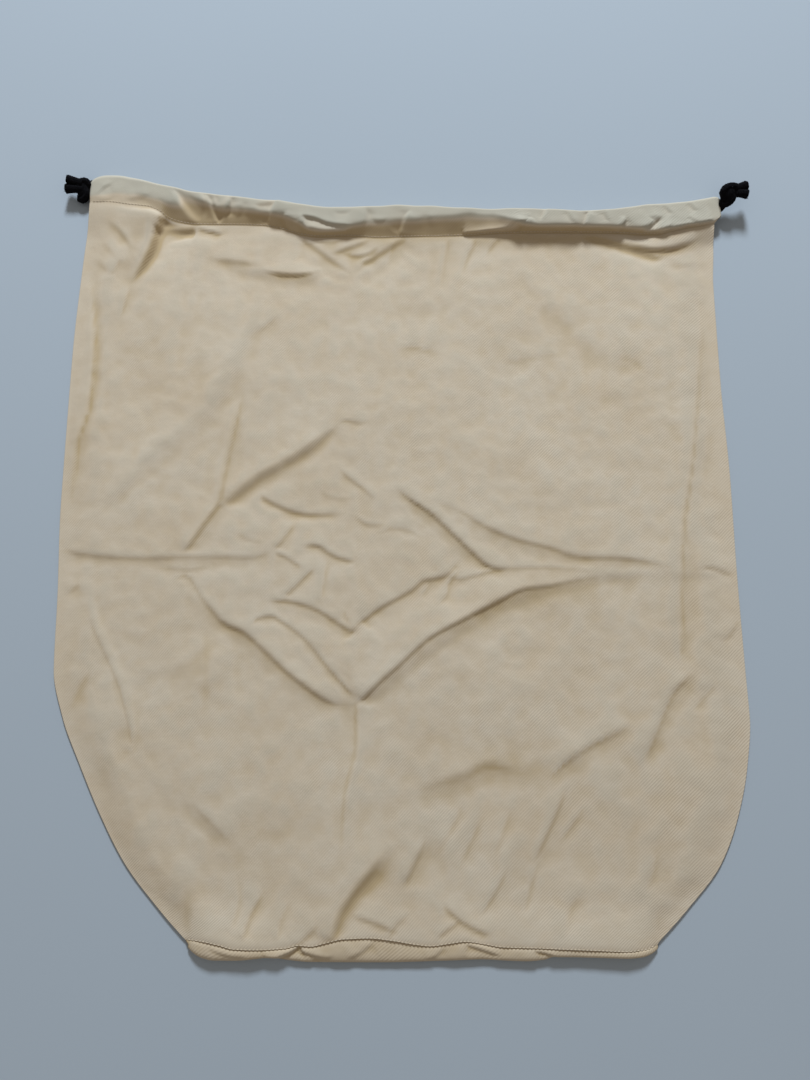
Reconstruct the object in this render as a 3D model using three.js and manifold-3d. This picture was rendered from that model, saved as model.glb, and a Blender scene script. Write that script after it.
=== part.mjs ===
import * as THREE from 'three';
import { mergeVertices } from 'three/addons/utils/BufferGeometryUtils.js';
import Module from 'manifold-3d';

// A cream cotton twill dust bag that lies flat, with its mouth towards +Y.
// Two black cords run through the casings at the mouth and are knotted together at both ends.
// Sizes are millimetres, +Z is up, and the bag rests on z = 0.

const clothThickness = 1;
const layerGap = 0.3;
const layerPitch = clothThickness + layerGap;
const floorLayer = clothThickness / 2;
const cordDiameter = 4.4;
const cordSides = 8;
const cordSteps = 42;

// Outline of the bag, seen from above: the side seams as x at each y.
const leftEdge = [
  { y: -265, x: -138 }, { y: -246, x: -157 }, { y: -217, x: -182 }, { y: -187, x: -200 },
  { y: -155, x: -216 }, { y: -124, x: -230 }, { y: -92, x: -238.5 }, { y: -43, x: -240 },
  { y: 26, x: -243 }, { y: 134, x: -243.5 }, { y: 212, x: -241 }, { y: 246, x: -239 },
  { y: 278, x: -238 },
];
const rightEdge = [
  { y: -265, x: 161 }, { y: -246, x: 180 }, { y: -217, x: 205 }, { y: -187, x: 218 },
  { y: -155, x: 226 }, { y: -124, x: 230.5 }, { y: -92, x: 230 }, { y: -26, x: 229.5 },
  { y: 43, x: 229.5 }, { y: 114, x: 227.5 }, { y: 190, x: 228.5 }, { y: 222, x: 230.5 },
  { y: 262, x: 231.5 },
];

// The folded mouth edge, as y at each x, and the straight bottom edge with its seam above it.
const mouthEdge = [
  { x: -249, y: 277.5 }, { x: -239, y: 276.5 }, { x: -219, y: 274.5 }, { x: -180, y: 267.5 },
  { x: -110, y: 255.5 }, { x: -60, y: 250 }, { x: 0, y: 249.5 }, { x: 90, y: 247.5 },
  { x: 145, y: 247.5 }, { x: 200, y: 252 }, { x: 237, y: 257.5 }, { x: 247, y: 259 },
];
const mouthLine = 262;
const bottomEdge = [
  { x: -150, y: -268 }, { x: -122, y: -274 }, { x: -60, y: -275 }, { x: 0, y: -275 },
  { x: 70, y: -274 }, { x: 120, y: -273 }, { x: 175, y: -268 },
];
const seamAboveBottom = 10;

// Sections through the mouth: depth below the folded edge, and height of the middle of the cloth.
const frontCasing = [
  { depth: 22.2, z: 5.0 }, { depth: 20.6, z: 7.0 }, { depth: 18.6, z: 8.9 },
  { depth: 15.2, z: 9.7 }, { depth: 11.0, z: 9.7 }, { depth: 6.0, z: 9.5 },
  { depth: 2.6, z: 9.0 }, { depth: 0.7, z: 7.6 }, { depth: 0, z: 5.8 }, { depth: 0.8, z: 4.1 },
  { depth: 2.9, z: 3.2 }, { depth: 8.4, z: 3.2 }, { depth: 10.4, z: 5.0 },
  { depth: 12.4, z: 7.5 }, { depth: 15.2, z: 8.25 }, { depth: 18.0, z: 7.5 },
  { depth: 20.0, z: 5.0 }, { depth: 22.0, z: 3.2 },
];
const backCasing = [
  { depth: 22.2, z: 0.5 }, { depth: 12.0, z: 0.5 }, { depth: 2.2, z: 0.5 },
  { depth: 1.45, z: 0.75 }, { depth: 1.2, z: 1.15 }, { depth: 1.45, z: 1.55 },
  { depth: 2.2, z: 1.8 }, { depth: 9.6, z: 1.8 }, { depth: 11.4, z: 3.9 },
  { depth: 13.0, z: 6.0 }, { depth: 15.2, z: 6.85 }, { depth: 17.4, z: 6.0 },
  { depth: 19.0, z: 3.9 }, { depth: 21.0, z: 1.8 },
];
const casingHeight = frontCasing[0].depth;
const foldRow = frontCasing.findIndex((row) => row.depth === 0);
const foldSpread = 3;
const bodyToCasing = 1.4;

// The front casing's outer layer reaches past the right seam, over the cords' way out.
const overhang = 5.6;
const overhangShare = 0.2;

// The cords, as depth below the mouth edge and height, with the places where they leave.
const frontCord = { depth: 6.0, z: 6.2, left: -239.4, right: 236.8 };
const backCord = { depth: 15.2, z: 3.5, left: -239.4, right: 234.6 };

// The knots. half is half the size of the lump, and a stub is how far a cut end lies from its
// centre in y and z, and how far it reaches past its side.
const knots = [
  {
    name: 'knot_left', side: 'left', centre: [-247.2, 265.5, 6.6], half: [5.4, 10.2, 6.2],
    stubs: [{ y: 7.2, z: 0.6, reach: 6.2 }, { y: 1.6, z: -0.4, reach: 6.6 }],
  },
  {
    name: 'knot_right', side: 'right', centre: [244.2, 259.2, 10], half: [6, 9.4, 6.4],
    stubs: [{ y: 6.6, z: 2.6, reach: 9.4 }, { y: 1.8, z: 2.0, reach: 9.8 }],
  },
];
const leadStart = 0.36;
const leadStraight = 3;
const leadSteps = 4;
const heartSides = 12;
const knotSpan = 2.6;
const lobeSteps = 7;
const lobeOverlap = 0.07;

// Section of the base strip: depth from the bottom edge, and share of the seam's height.
const stripSection = [
  { depth: 9.7, share: 1 }, { depth: 5.6, share: 1.08 }, { depth: 2.2, share: 0.94 },
  { depth: 0, share: 0.5 }, { depth: 2.2, share: 0.06 }, { depth: 5.6, share: 0 },
  { depth: 16, share: 0 },
];
const seamHeight = 5.6;
const seamTaper = 34;

// Main folds of the upper layer. Each runs from, past a middle point, to its end.
// rise is the height of its crest or, below zero, the depth of its trough, and left and right
// are the widths of its two slopes, seen along the run.
const folds = [
  { from: [-31, -113], past: [46, -52], to: [151, -26], rise: 4.2, left: 16, right: 7 },
  { from: [-159, -33], past: [-106, -67], to: [-38, -113], rise: 3.2, left: 12, right: 7 },
  { from: [-104, -61], past: [-78, -62], to: [-33, -107], rise: -1.6, left: 7, right: 7 },
  { from: [-44, 86], past: [-83, 60], to: [-131, 23], rise: 3.6, left: 12, right: 8 },
  { from: [-105, 184], past: [-150, 89], to: [-215, 22], rise: 2.6, left: 14, right: 14 },
  { from: [-117, 110], past: [-123, 62], to: [-151, -12], rise: 2.2, left: 9, right: 14 },
  { from: [-185, 240], past: [-190, 216], to: [-207, 180], rise: -2.2, left: 8, right: 8 },
  { from: [-176, 238], past: [-174, 210], to: [-190, 170], rise: 2.4, left: 10, right: 10 },
  { from: [-5, 35], past: [30, 10], to: [60, -24], rise: 3.0, left: 16, right: 8 },
  { from: [17, 25], past: [66, 3], to: [140, -18], rise: 1.8, left: 18, right: 12 },
  { from: [-90, -44], past: [-62, -48], to: [-34, -66], rise: 2.4, left: 10, right: 8 },
  { from: [-31, -59], past: [0, -36], to: [30, -27], rise: 2.6, left: 10, right: 9 },
  { from: [-104, 31], past: [-72, 18], to: [-40, -18], rise: 2.2, left: 9, right: 9 },
  { from: [-241, -12], past: [-160, -14], to: [-90, -8], rise: 1.5, left: 10, right: 12 },
  { from: [60, -22], past: [140, -20], to: [228, -25], rise: 1.6, left: 10, right: 12 },
  { from: [-31, -113], past: [-35, -158], to: [-41, -200], rise: 1.8, left: 12, right: 10 },
  { from: [217, 176], past: [198, 60], to: [185, -89], rise: 1.8, left: 14, right: 12 },
  { from: [190, -97], past: [170, -118], to: [156, -156], rise: 2.0, left: 10, right: 9 },
  { from: [-237, 204], past: [-226, 130], to: [-238, 40], rise: 1.6, left: 9, right: 12 },
  { from: [-2, -200], past: [-30, -222], to: [-46, -250], rise: 3.0, left: 11, right: 9 },
  { from: [-151, 209], past: [-110, 200], to: [-62, 199], rise: 1.8, left: 10, right: 10 },
  { from: [-78, 224], past: [-60, 208], to: [-40, 192], rise: 1.8, left: 9, right: 9 },
  { from: [-4, 224], past: [-22, 210], to: [-38, 194], rise: 1.8, left: 9, right: 9 },
  { from: [79, 213], past: [110, 176], to: [165, 130], rise: 1.2, left: 16, right: 12 },
  { from: [-3, -169], past: [42, -150], to: [86, -164], rise: 1.6, left: 12, right: 12 },
  { from: [151, -130], past: [124, -140], to: [95, -163], rise: 1.6, left: 10, right: 9 },
  { from: [-216, -36], past: [-204, -84], to: [-181, -145], rise: 1.6, left: 12, right: 12 },
  { from: [27, -244], past: [40, -252], to: [52, -257], rise: 1.6, left: 8, right: 8 },
];

// Puckers of the upper casing, drawn as folds across it.
const puckers = [
  { from: [-184, 264], past: [-174, 254], to: [-163, 240], rise: 2.0, left: 8, right: 6 },
  { from: [-108, 254], past: [-100, 242], to: [-98, 232], rise: 1.8, left: 7, right: 7 },
  { from: [-88, 238], past: [-72, 232], to: [-40, 230], rise: 1.4, left: 7, right: 7 },
  { from: [68, 244], past: [58, 238], to: [46, 230], rise: 1.6, left: 8, right: 8 },
  { from: [134, 246], past: [132, 238], to: [131, 228], rise: 1.4, left: 7, right: 7 },
  { from: [186, 252], past: [180, 242], to: [172, 232], rise: 1.8, left: 8, right: 8 },
];

const sheetColumns = [
  { from: -1, to: -0.72, steps: 5 }, { from: -0.72, to: 0.4, steps: 23 },
  { from: 0.4, to: 1, steps: 9 },
];
const frontRows = [
  { from: 0, to: 0.3, steps: 9 }, { from: 0.3, to: 0.62, steps: 15 },
  { from: 0.62, to: 1, steps: 9 },
];
const backRows = [{ from: 0, to: 0.36, steps: 8 }, { from: 0.36, to: 1, steps: 3 }];

// The upper layer stands a little off the lower one, in low waves, and is drawn down to its seams.
const puff = 1.9;
const puffReach = 26;
const rimReach = 9;
const wave = { height: 0.5, acrossX: 31, acrossY: 57, alongY: 43, alongX: 90 };
const seamReach = 34;
const casingReach = 16;

// A fold is measured at this many places along its run, and this share of it is left at its end.
const foldSamples = 14;
const foldEnd = 0.35;

const twill = new THREE.MeshStandardMaterial({ color: 0xd3c3a2, roughness: 0.92, metalness: 0 });
const cotton = new THREE.MeshStandardMaterial({ color: 0x1d1c1e, roughness: 0.85, metalness: 0 });

// Smooth curve through a table's points, with the slopes that keep it from swinging past them.
function curveThrough(table, along, across) {
  const at = table.map((row) => row[along]);
  const value = table.map((row) => row[across]);
  const rate = at.slice(1).map((end, i) => (value[i + 1] - value[i]) / (end - at[i]));
  const slope = at.map((_, i) => {
    if (i === 0) return rate[0];
    if (i === rate.length) return rate[i - 1];
    return rate[i - 1] * rate[i] > 0 ? 2 / (1 / rate[i - 1] + 1 / rate[i]) : 0;
  });
  return (where) => {
    if (where <= at[0]) return value[0];
    if (where >= at[at.length - 1]) return value[value.length - 1];
    const i = at.findIndex((end) => end > where) - 1;
    const span = at[i + 1] - at[i];
    const t = (where - at[i]) / span;
    const ease = t * t * (3 - 2 * t);
    const lean = t * (1 - t) * span;
    return value[i] + (value[i + 1] - value[i]) * ease
      + lean * ((1 - t) * slope[i] - t * slope[i + 1]);
  };
}

const leftAt = curveThrough(leftEdge, 'y', 'x');
const rightAt = curveThrough(rightEdge, 'y', 'x');
const mouthAt = curveThrough(mouthEdge, 'x', 'y');
const bottomAt = curveThrough(bottomEdge, 'x', 'y');

const smooth = (t) => {
  const s = Math.min(1, Math.max(0, t));
  return s * s * (3 - 2 * s);
};
const mix = (a, b, t) => a + (b - a) * t;

// A point at share u, from -1 at the left seam to 1 at the right one, on the line at height y.
const across = (u, y) => mix(leftAt(y), rightAt(y), (u + 1) / 2);

// The values of a table of steps, as one rising list.
function ladder(stretches) {
  const rungs = [stretches[0].from];
  for (const { from, to, steps } of stretches) {
    for (let i = 1; i <= steps; i += 1) rungs.push(mix(from, to, i / steps));
  }
  return rungs;
}

const columns = ladder(sheetColumns);

// Where a column of the sheets' grids crosses the base seam, and where it crosses the casings.
const baseX = (u) => across(u, leftEdge[0].y);
const mouthX = (u) => across(u, mouthLine);
const overhangX = (u) => overhang * smooth((u - 1 + overhangShare) / overhangShare);

// Height that one fold adds at a point: soft across its run, and fading at its two ends.
function foldRise(fold, x, y) {
  let nearest = { distance: Infinity };
  for (let i = 0; i <= foldSamples; i += 1) {
    const t = i / foldSamples;
    const a = (1 - t) * (1 - t);
    const b = 2 * t * (1 - t);
    const c = t * t;
    const px = a * fold.from[0] + b * fold.past[0] + c * fold.to[0];
    const py = a * fold.from[1] + b * fold.past[1] + c * fold.to[1];
    const distance = Math.hypot(x - px, y - py);
    if (distance < nearest.distance) nearest = { distance, t, px, py };
  }
  const t = nearest.t;
  const tx = (1 - t) * (fold.past[0] - fold.from[0]) + t * (fold.to[0] - fold.past[0]);
  const ty = (1 - t) * (fold.past[1] - fold.from[1]) + t * (fold.to[1] - fold.past[1]);
  const side = tx * (y - nearest.py) - ty * (x - nearest.px);
  const width = side > 0 ? fold.left : fold.right;
  const fade = Math.min(1, foldEnd * (2 - t) + 3 * t * (1 - t));
  return fold.rise * fade * Math.exp(-((nearest.distance / width) ** 2));
}

const sumOfFolds = (table, x, y) => table.reduce((sum, fold) => sum + foldRise(fold, x, y), 0);

// The seam of the base strip stands highest along the middle and comes down to both corners.
const seamTop = (x) => {
  const fromEnd = Math.min(x - leftEdge[0].x, rightEdge[0].x - x);
  return mix(floorLayer + layerPitch, seamHeight, smooth(fromEnd / seamTaper));
};

// Height of the middle of the upper layer between the base seam and the casing.
function frontHeight(x, y) {
  const rest = floorLayer + layerPitch;
  const inside = Math.min(x - leftAt(y), rightAt(y) - x);
  const seamY = bottomAt(x) + seamAboveBottom;
  const stitchY = mouthAt(x) - casingHeight;
  const nearSeam = 1 - smooth((y - seamY) / seamReach);
  const nearStitch = 1 - smooth((stitchY - y) / casingReach);
  const roll = Math.sin(x / wave.acrossX + y / wave.acrossY)
    * Math.sin(y / wave.alongY - x / wave.alongX);
  const loose = smooth(inside / puffReach) * (puff + wave.height * roll);
  const lifted = Math.max(0, loose + smooth(inside / rimReach) * sumOfFolds(folds, x, y));
  const seamLift = (seamTop(x) - rest) * nearSeam;
  const stitchLift = (frontCasing[0].z - rest) * nearStitch;
  const held = Math.max(nearSeam, nearStitch);
  return rest + lifted * (1 - held) + seamLift + stitchLift;
}

// Grid of points for the upper layer, from the base seam up, over the mouth and down inside.
function frontGrid() {
  const grid = ladder(frontRows).map((share) => columns.map((u) => {
    const low = bottomAt(baseX(u)) + seamAboveBottom;
    const high = mouthAt(mouthX(u)) - casingHeight - bodyToCasing;
    const y = mix(low, high, share);
    const x = across(u, y);
    return new THREE.Vector3(x, y, frontHeight(x, y));
  }));
  frontCasing.forEach(({ depth, z }, row) => {
    const outer = smooth((foldRow + foldSpread - 1 - row) / foldSpread);
    grid.push(columns.map((u) => {
      const x = mouthX(u) + outer * overhangX(u);
      const y = mouthAt(x) - depth;
      const pucker = row > 0 && row < foldRow ? sumOfFolds(puckers, x, y) : 0;
      return new THREE.Vector3(x, y, z + Math.max(0, pucker));
    }));
  });
  return grid;
}

// Grid of points for the lower layer, flat on the floor, and its casing.
function backGrid() {
  const stripEnd = stripSection[stripSection.length - 1].depth + layerGap;
  const grid = ladder(backRows).map((share) => columns.map((u) => {
    const low = bottomAt(baseX(u)) + stripEnd;
    const high = mouthAt(mouthX(u)) - casingHeight - bodyToCasing;
    const y = mix(low, high, share);
    return new THREE.Vector3(across(u, y), y, floorLayer);
  }));
  for (const { depth, z } of backCasing) {
    grid.push(columns.map((u) => {
      const x = mouthX(u);
      return new THREE.Vector3(x, mouthAt(x) - depth, z);
    }));
  }
  return grid;
}

// Grid of points for the base strip, from the front seam round the bottom edge and under.
function stripGrid() {
  return stripSection.map(({ depth, share }) => columns.map((u) => {
    const x = baseX(u);
    const y = bottomAt(x) + depth;
    const z = mix(floorLayer, seamTop(x), share);
    return new THREE.Vector3(across(u, y), y, z);
  }));
}

// A sheet of cloth: a grid of points of its middle, thickened to both sides and closed at its rim.
function sheet(name, grid) {
  const rows = grid.length;
  const count = columns.length;
  const within = (i, size) => Math.min(size - 1, Math.max(0, i));
  const middle = (r, c) => grid[within(r, rows)][within(c, count)];
  const positions = [];
  for (const side of [1, -1]) {
    for (let r = 0; r < rows; r += 1) {
      for (let c = 0; c < count; c += 1) {
        const alongRow = middle(r, c + 1).clone().sub(middle(r, c - 1));
        const alongColumn = middle(r + 1, c).clone().sub(middle(r - 1, c));
        const normal = alongRow.cross(alongColumn).normalize();
        const point = middle(r, c).clone().addScaledVector(normal, side * clothThickness / 2);
        positions.push(...point.toArray());
      }
    }
  }
  const top = (r, c) => r * count + c;
  const under = (r, c) => rows * count + top(r, c);
  const faces = [];
  const quad = (a, b, c, d) => faces.push(a, b, c, a, c, d);
  for (let r = 0; r + 1 < rows; r += 1) {
    for (let c = 0; c + 1 < count; c += 1) {
      quad(top(r, c), top(r, c + 1), top(r + 1, c + 1), top(r + 1, c));
      quad(under(r, c), under(r + 1, c), under(r + 1, c + 1), under(r, c + 1));
    }
    quad(under(r, 0), top(r, 0), top(r + 1, 0), under(r + 1, 0));
    quad(top(r, count - 1), under(r, count - 1), under(r + 1, count - 1), top(r + 1, count - 1));
  }
  for (let c = 0; c + 1 < count; c += 1) {
    quad(under(0, c), under(0, c + 1), top(0, c + 1), top(0, c));
    quad(top(rows - 1, c), top(rows - 1, c + 1), under(rows - 1, c + 1), under(rows - 1, c));
  }
  const geometry = new THREE.BufferGeometry();
  geometry.setAttribute('position', new THREE.Float32BufferAttribute(positions, 3));
  geometry.setIndex(faces);
  geometry.computeVertexNormals();
  const mesh = new THREE.Mesh(geometry, twill);
  mesh.name = name;
  return mesh;
}

// A round cord along a smooth path through its points.
function strand(points, diameter, steps) {
  const path = new THREE.CatmullRomCurve3(points.map((p) => new THREE.Vector3(...p)));
  const section = new THREE.Shape();
  for (let i = 0; i < cordSides; i += 1) {
    const angle = (2 * Math.PI * (i + 0.5)) / cordSides;
    const [x, y] = [Math.cos(angle) * diameter / 2, Math.sin(angle) * diameter / 2];
    if (i === 0) section.moveTo(x, y);
    else section.lineTo(x, y);
  }
  section.closePath();
  return new THREE.ExtrudeGeometry(section, { steps, extrudePath: path, bevelEnabled: false });
}

// A point of a cord that lies at one depth below the mouth edge.
const cordPoint = ({ depth, z }, x) => [x, mouthAt(x) - depth, z];

// The cord inside a casing, from side to side.
function casingCord(name, cord) {
  const points = [];
  for (let i = 0; i <= cordSteps; i += 1) {
    points.push(cordPoint(cord, mix(cord.left, cord.right, i / cordSteps)));
  }
  const mesh = new THREE.Mesh(strand(points, cordDiameter, cordSteps), cotton);
  mesh.name = name;
  return mesh;
}

const wasm = await Module();
wasm.setup();

// Joins closed pieces into one solid.
function weld(geometries) {
  const solids = geometries.map((geometry) => {
    const bare = geometry.clone();
    bare.deleteAttribute('normal');
    bare.deleteAttribute('uv');
    const merged = mergeVertices(bare, 1e-4);
    return new wasm.Manifold(new wasm.Mesh({
      numProp: 3,
      vertProperties: new Float32Array(merged.attributes.position.array),
      triVerts: new Uint32Array(merged.index.array),
    }));
  });
  const joined = solids.reduce((sum, solid) => sum.add(solid)).getMesh();
  const geometry = new THREE.BufferGeometry();
  geometry.setAttribute('position', new THREE.Float32BufferAttribute(joined.vertProperties, 3));
  geometry.setIndex(Array.from(joined.triVerts));
  geometry.computeVertexNormals();
  return geometry;
}

// An overhand knot: three crossing lobes of cord round a filled heart, two leads that meet the
// cords where they leave the casings, and two short cut ends side by side.
function knot({ name, side, centre, half, stubs }) {
  const out = Math.sign(centre[0]);
  const reach = half.map((h) => h - cordDiameter / 2);
  const place = (angle) => [
    centre[0] + out * reach[0] * Math.sin(3 * angle),
    centre[1] + reach[1] * (Math.sin(angle) + 2 * Math.sin(2 * angle)) / knotSpan,
    centre[2] + reach[2] * (Math.cos(angle) - 2 * Math.cos(2 * angle)) / knotSpan,
  ];
  const heart = new THREE.SphereGeometry(1, heartSides, heartSides / 2);
  heart.scale(...reach).translate(...centre);
  const pieces = [heart];
  for (let lobe = 0; lobe < 3; lobe += 1) {
    const points = [];
    for (let i = 0; i <= lobeSteps; i += 1) {
      const share = (i / lobeSteps) * (1 + 2 * lobeOverlap) - lobeOverlap;
      points.push(place((2 * Math.PI * (lobe + share)) / 3));
    }
    pieces.push(strand(points, cordDiameter, lobeSteps));
  }
  for (const cord of [frontCord, backCord]) {
    const start = cordPoint(cord, cord[side] + out * leadStart);
    const turn = cordPoint(cord, cord[side] + out * leadStraight);
    pieces.push(strand([start, turn, centre], cordDiameter, leadSteps));
  }
  for (const stub of stubs) {
    const from = [centre[0], centre[1] + stub.y, centre[2] + stub.z];
    const to = [centre[0] + out * (half[0] + stub.reach), from[1], from[2]];
    pieces.push(strand([from, to], cordDiameter, 2));
  }
  const mesh = new THREE.Mesh(weld(pieces), cotton);
  mesh.name = name;
  return mesh;
}

const bag = new THREE.Group();
bag.name = 'dust_bag';
bag.add(sheet('front_panel', frontGrid()));
bag.add(sheet('back_panel', backGrid()));
bag.add(sheet('base_strip', stripGrid()));
bag.add(casingCord('cord_front', frontCord));
bag.add(casingCord('cord_back', backCord));
for (const row of knots) bag.add(knot(row));

// The origin lies on the floor, in the middle of the bag's footprint.
const extent = new THREE.Box3().setFromObject(bag);
const middle = extent.getCenter(new THREE.Vector3());
bag.position.set(-middle.x, -middle.y, -extent.min.z);

export default bag;
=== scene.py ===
import math
import random

import bmesh
import bpy
import numpy as np
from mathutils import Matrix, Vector, noise


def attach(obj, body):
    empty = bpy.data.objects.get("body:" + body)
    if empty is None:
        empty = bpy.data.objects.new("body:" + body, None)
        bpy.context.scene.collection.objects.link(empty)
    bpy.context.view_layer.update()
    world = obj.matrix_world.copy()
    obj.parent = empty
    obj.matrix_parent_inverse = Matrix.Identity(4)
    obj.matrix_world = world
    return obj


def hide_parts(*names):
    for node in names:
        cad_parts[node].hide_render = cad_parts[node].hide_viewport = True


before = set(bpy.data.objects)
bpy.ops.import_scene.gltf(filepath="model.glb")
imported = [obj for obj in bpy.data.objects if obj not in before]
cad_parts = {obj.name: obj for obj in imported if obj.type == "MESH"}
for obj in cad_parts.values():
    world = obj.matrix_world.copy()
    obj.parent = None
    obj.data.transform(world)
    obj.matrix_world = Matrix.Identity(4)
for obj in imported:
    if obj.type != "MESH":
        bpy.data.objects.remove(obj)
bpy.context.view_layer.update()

# A cream cotton dust bag lying flat, mouth away from the camera.
# Sizes are millimetres in the maker's layout, and become metres in the part's frame. The
# window, the floor and the depths of bumps are in metres.
layout = {"shiftX": -0.400, "shiftY": -0.722, "scale": 0.001}


def toFrame(points):  # layout millimetres to metres in the part's frame
    moved = np.asarray(points, float) + (layout["shiftX"], layout["shiftY"], 0)
    return moved * layout["scale"]


cameraFacts = {"place": (0.0, -111.1, 558.5), "aim": (0.0, -2.5, 0.0), "lens": 27.03,
               "sensor": 36.0}
cameraData = bpy.data.cameras.new("camera")
cameraData.lens, cameraData.sensor_width = cameraFacts["lens"], cameraFacts["sensor"]
camera = bpy.data.objects.new("camera", cameraData)
bpy.context.scene.collection.objects.link(camera)
camera.location = toFrame(cameraFacts["place"])
aimAt = Vector(toFrame(cameraFacts["aim"]))
camera.rotation_euler = (aimAt - camera.location).to_track_quat("-Z", "Y").to_euler()
bpy.context.scene.camera = camera
print("camera set")

lightFacts = {
    "windowPlace": (0.04, 2.46, 1.46), "windowSize": 0.56, "windowPower": 86.0,
    "windowColour": (0.84, 0.93, 1.0),
    "roomColour": (1.0, 0.95, 0.87), "roomStrength": 0.29,
}


def addWindow(facts):
    data = bpy.data.lights.new("window", "AREA")
    data.shape, data.size = "DISK", facts["windowSize"]
    data.energy, data.color = facts["windowPower"], facts["windowColour"]
    lamp = bpy.data.objects.new("window", data)
    bpy.context.scene.collection.objects.link(lamp)
    lamp.location = facts["windowPlace"]
    lamp.rotation_euler = (-Vector(facts["windowPlace"])).to_track_quat("-Z", "Y").to_euler()


addWindow(lightFacts)
world = bpy.data.worlds.new("room")
bpy.context.scene.world = world
world.use_nodes = True
worldShader = world.node_tree.nodes["Background"]
worldShader.inputs["Color"].default_value = (*lightFacts["roomColour"], 1)
worldShader.inputs["Strength"].default_value = lightFacts["roomStrength"]
bpy.context.scene.view_settings.view_transform = "Standard"


class Socket:
    # wraps an output so that arithmetic on it adds Math nodes

    def __init__(self, tree, output):
        self.tree, self.output = tree, output

    def node(self, kind, settings=None, **inputs):
        made = self.tree.nodes.new(kind)
        for name, value in (settings or {}).items():
            setattr(made, name, value)
        for name, value in inputs.items():
            self.feed(made, name, value)
        return made

    def feed(self, made, name, value):  # i and a number is an input by its place
        key = int(name[1:]) if name[0] == "i" and name[1:].isdigit() else name
        socket = made.inputs[key]
        if isinstance(value, Socket):
            self.tree.links.new(value.output, socket)
        else:
            socket.default_value = value

    def wrap(self, output):
        return Socket(self.tree, output)

    def maths(self, operation, first, second=0.0):
        made = self.node("ShaderNodeMath", {"operation": operation}, i0=first, i1=second)
        return self.wrap(made.outputs[0])

    def __add__(self, other):
        return self.maths("ADD", self, other)

    __radd__ = __add__

    def __mul__(self, other):
        return self.maths("MULTIPLY", self, other)

    __rmul__ = __mul__

    def __sub__(self, other):
        return self.maths("SUBTRACT", self, other)

    def __rsub__(self, other):
        return self.maths("SUBTRACT", other, self)

    def sine(self):
        return self.maths("SINE", self)

    def clamped(self, low, high):
        made = self.node("ShaderNodeMapRange", {"clamp": True}, i0=self, i1=low, i2=high)
        return self.wrap(made.outputs[0])


def startMaterial(name, facts):
    material = bpy.data.materials.new(name)
    material.use_nodes = True
    shader = material.node_tree.nodes["Principled BSDF"]
    shader.inputs["Roughness"].default_value = facts["roughness"]
    shader.inputs["Sheen Weight"].default_value = facts["sheen"]
    shader.inputs["Specular IOR Level"].default_value = facts["gloss"]
    return material, shader, Socket(material.node_tree, None)


def blendColours(maker, factor, first, second):
    # the node's colour sockets are inputs 6 and 7 and output 2
    made = maker.node("ShaderNodeMix", {"data_type": "RGBA"}, i0=factor, i6=first, i7=second)
    return maker.wrap(made.outputs[2])


def attribute(maker, name, output):
    made = maker.node("ShaderNodeAttribute", {"attribute_name": name})
    return maker.wrap(made.outputs[output])


def objectPlace(maker):
    return maker.wrap(maker.node("ShaderNodeTexCoord").outputs["Object"])


def cloudy(maker, place, scale, detail=3.0, roughness=0.55):
    made = maker.node("ShaderNodeTexNoise", {}, Vector=place, Scale=scale, Detail=detail,
                      Roughness=roughness)
    return maker.wrap(made.outputs["Fac"])


def addBump(maker, shader, height, depth, strength=1.0):
    bump = maker.node("ShaderNodeBump", {}, Strength=strength, Distance=depth, Height=height)
    maker.feed(shader, "Normal", maker.wrap(bump.outputs["Normal"]))


twillFacts = {
    # cream and pale are the cloth's own colour and tan its flecks; the hollow colour is
    # painted shade, and the cool colour painted cool window light
    "cream": (0.628, 0.520, 0.395, 1), "pale": (0.660, 0.565, 0.450, 1),
    "tan": (0.585, 0.455, 0.310, 1), "paintedShade": (0.50, 0.370, 0.205, 1),
    "paintedCoolLight": (0.500, 0.470, 0.395, 1),
    "roughness": 0.93, "sheen": 0.06, "gloss": 0.18,
    # the diagonal ribs with painted shade in their grooves, the yarns across them, and how far
    # the ribs wander
    "ribPitch": 1.5, "ribAngle": 47.0, "ribHeight": 0.5, "ribShade": 0.08,
    "yarnPitch": 0.62, "yarnHeight": 0.16, "yarnSway": 1.2,
    "wanderScale": 0.03, "wander": 2.2, "stripTurn": 86.0,
    # patches where the weave stands out, and the scale and height of coarse threads
    "patchScale": 0.022, "patchLeast": 0.55, "patchMore": 0.4,
    "slubs": [(0.5, 0.35), (0.16, 1.5)], "depth": 0.00011,
    # slow and small changes of the cloth's own colour, and how much painted shade a hollow
    # takes
    "driftScale": 0.014, "driftDetail": 4.0, "driftRoughness": 0.6, "middle": (0.35, 0.65),
    "speckScale": 0.09, "speckRange": (0.45, 0.8), "speckShare": 0.35, "hollowShare": 0.8,
}


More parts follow.
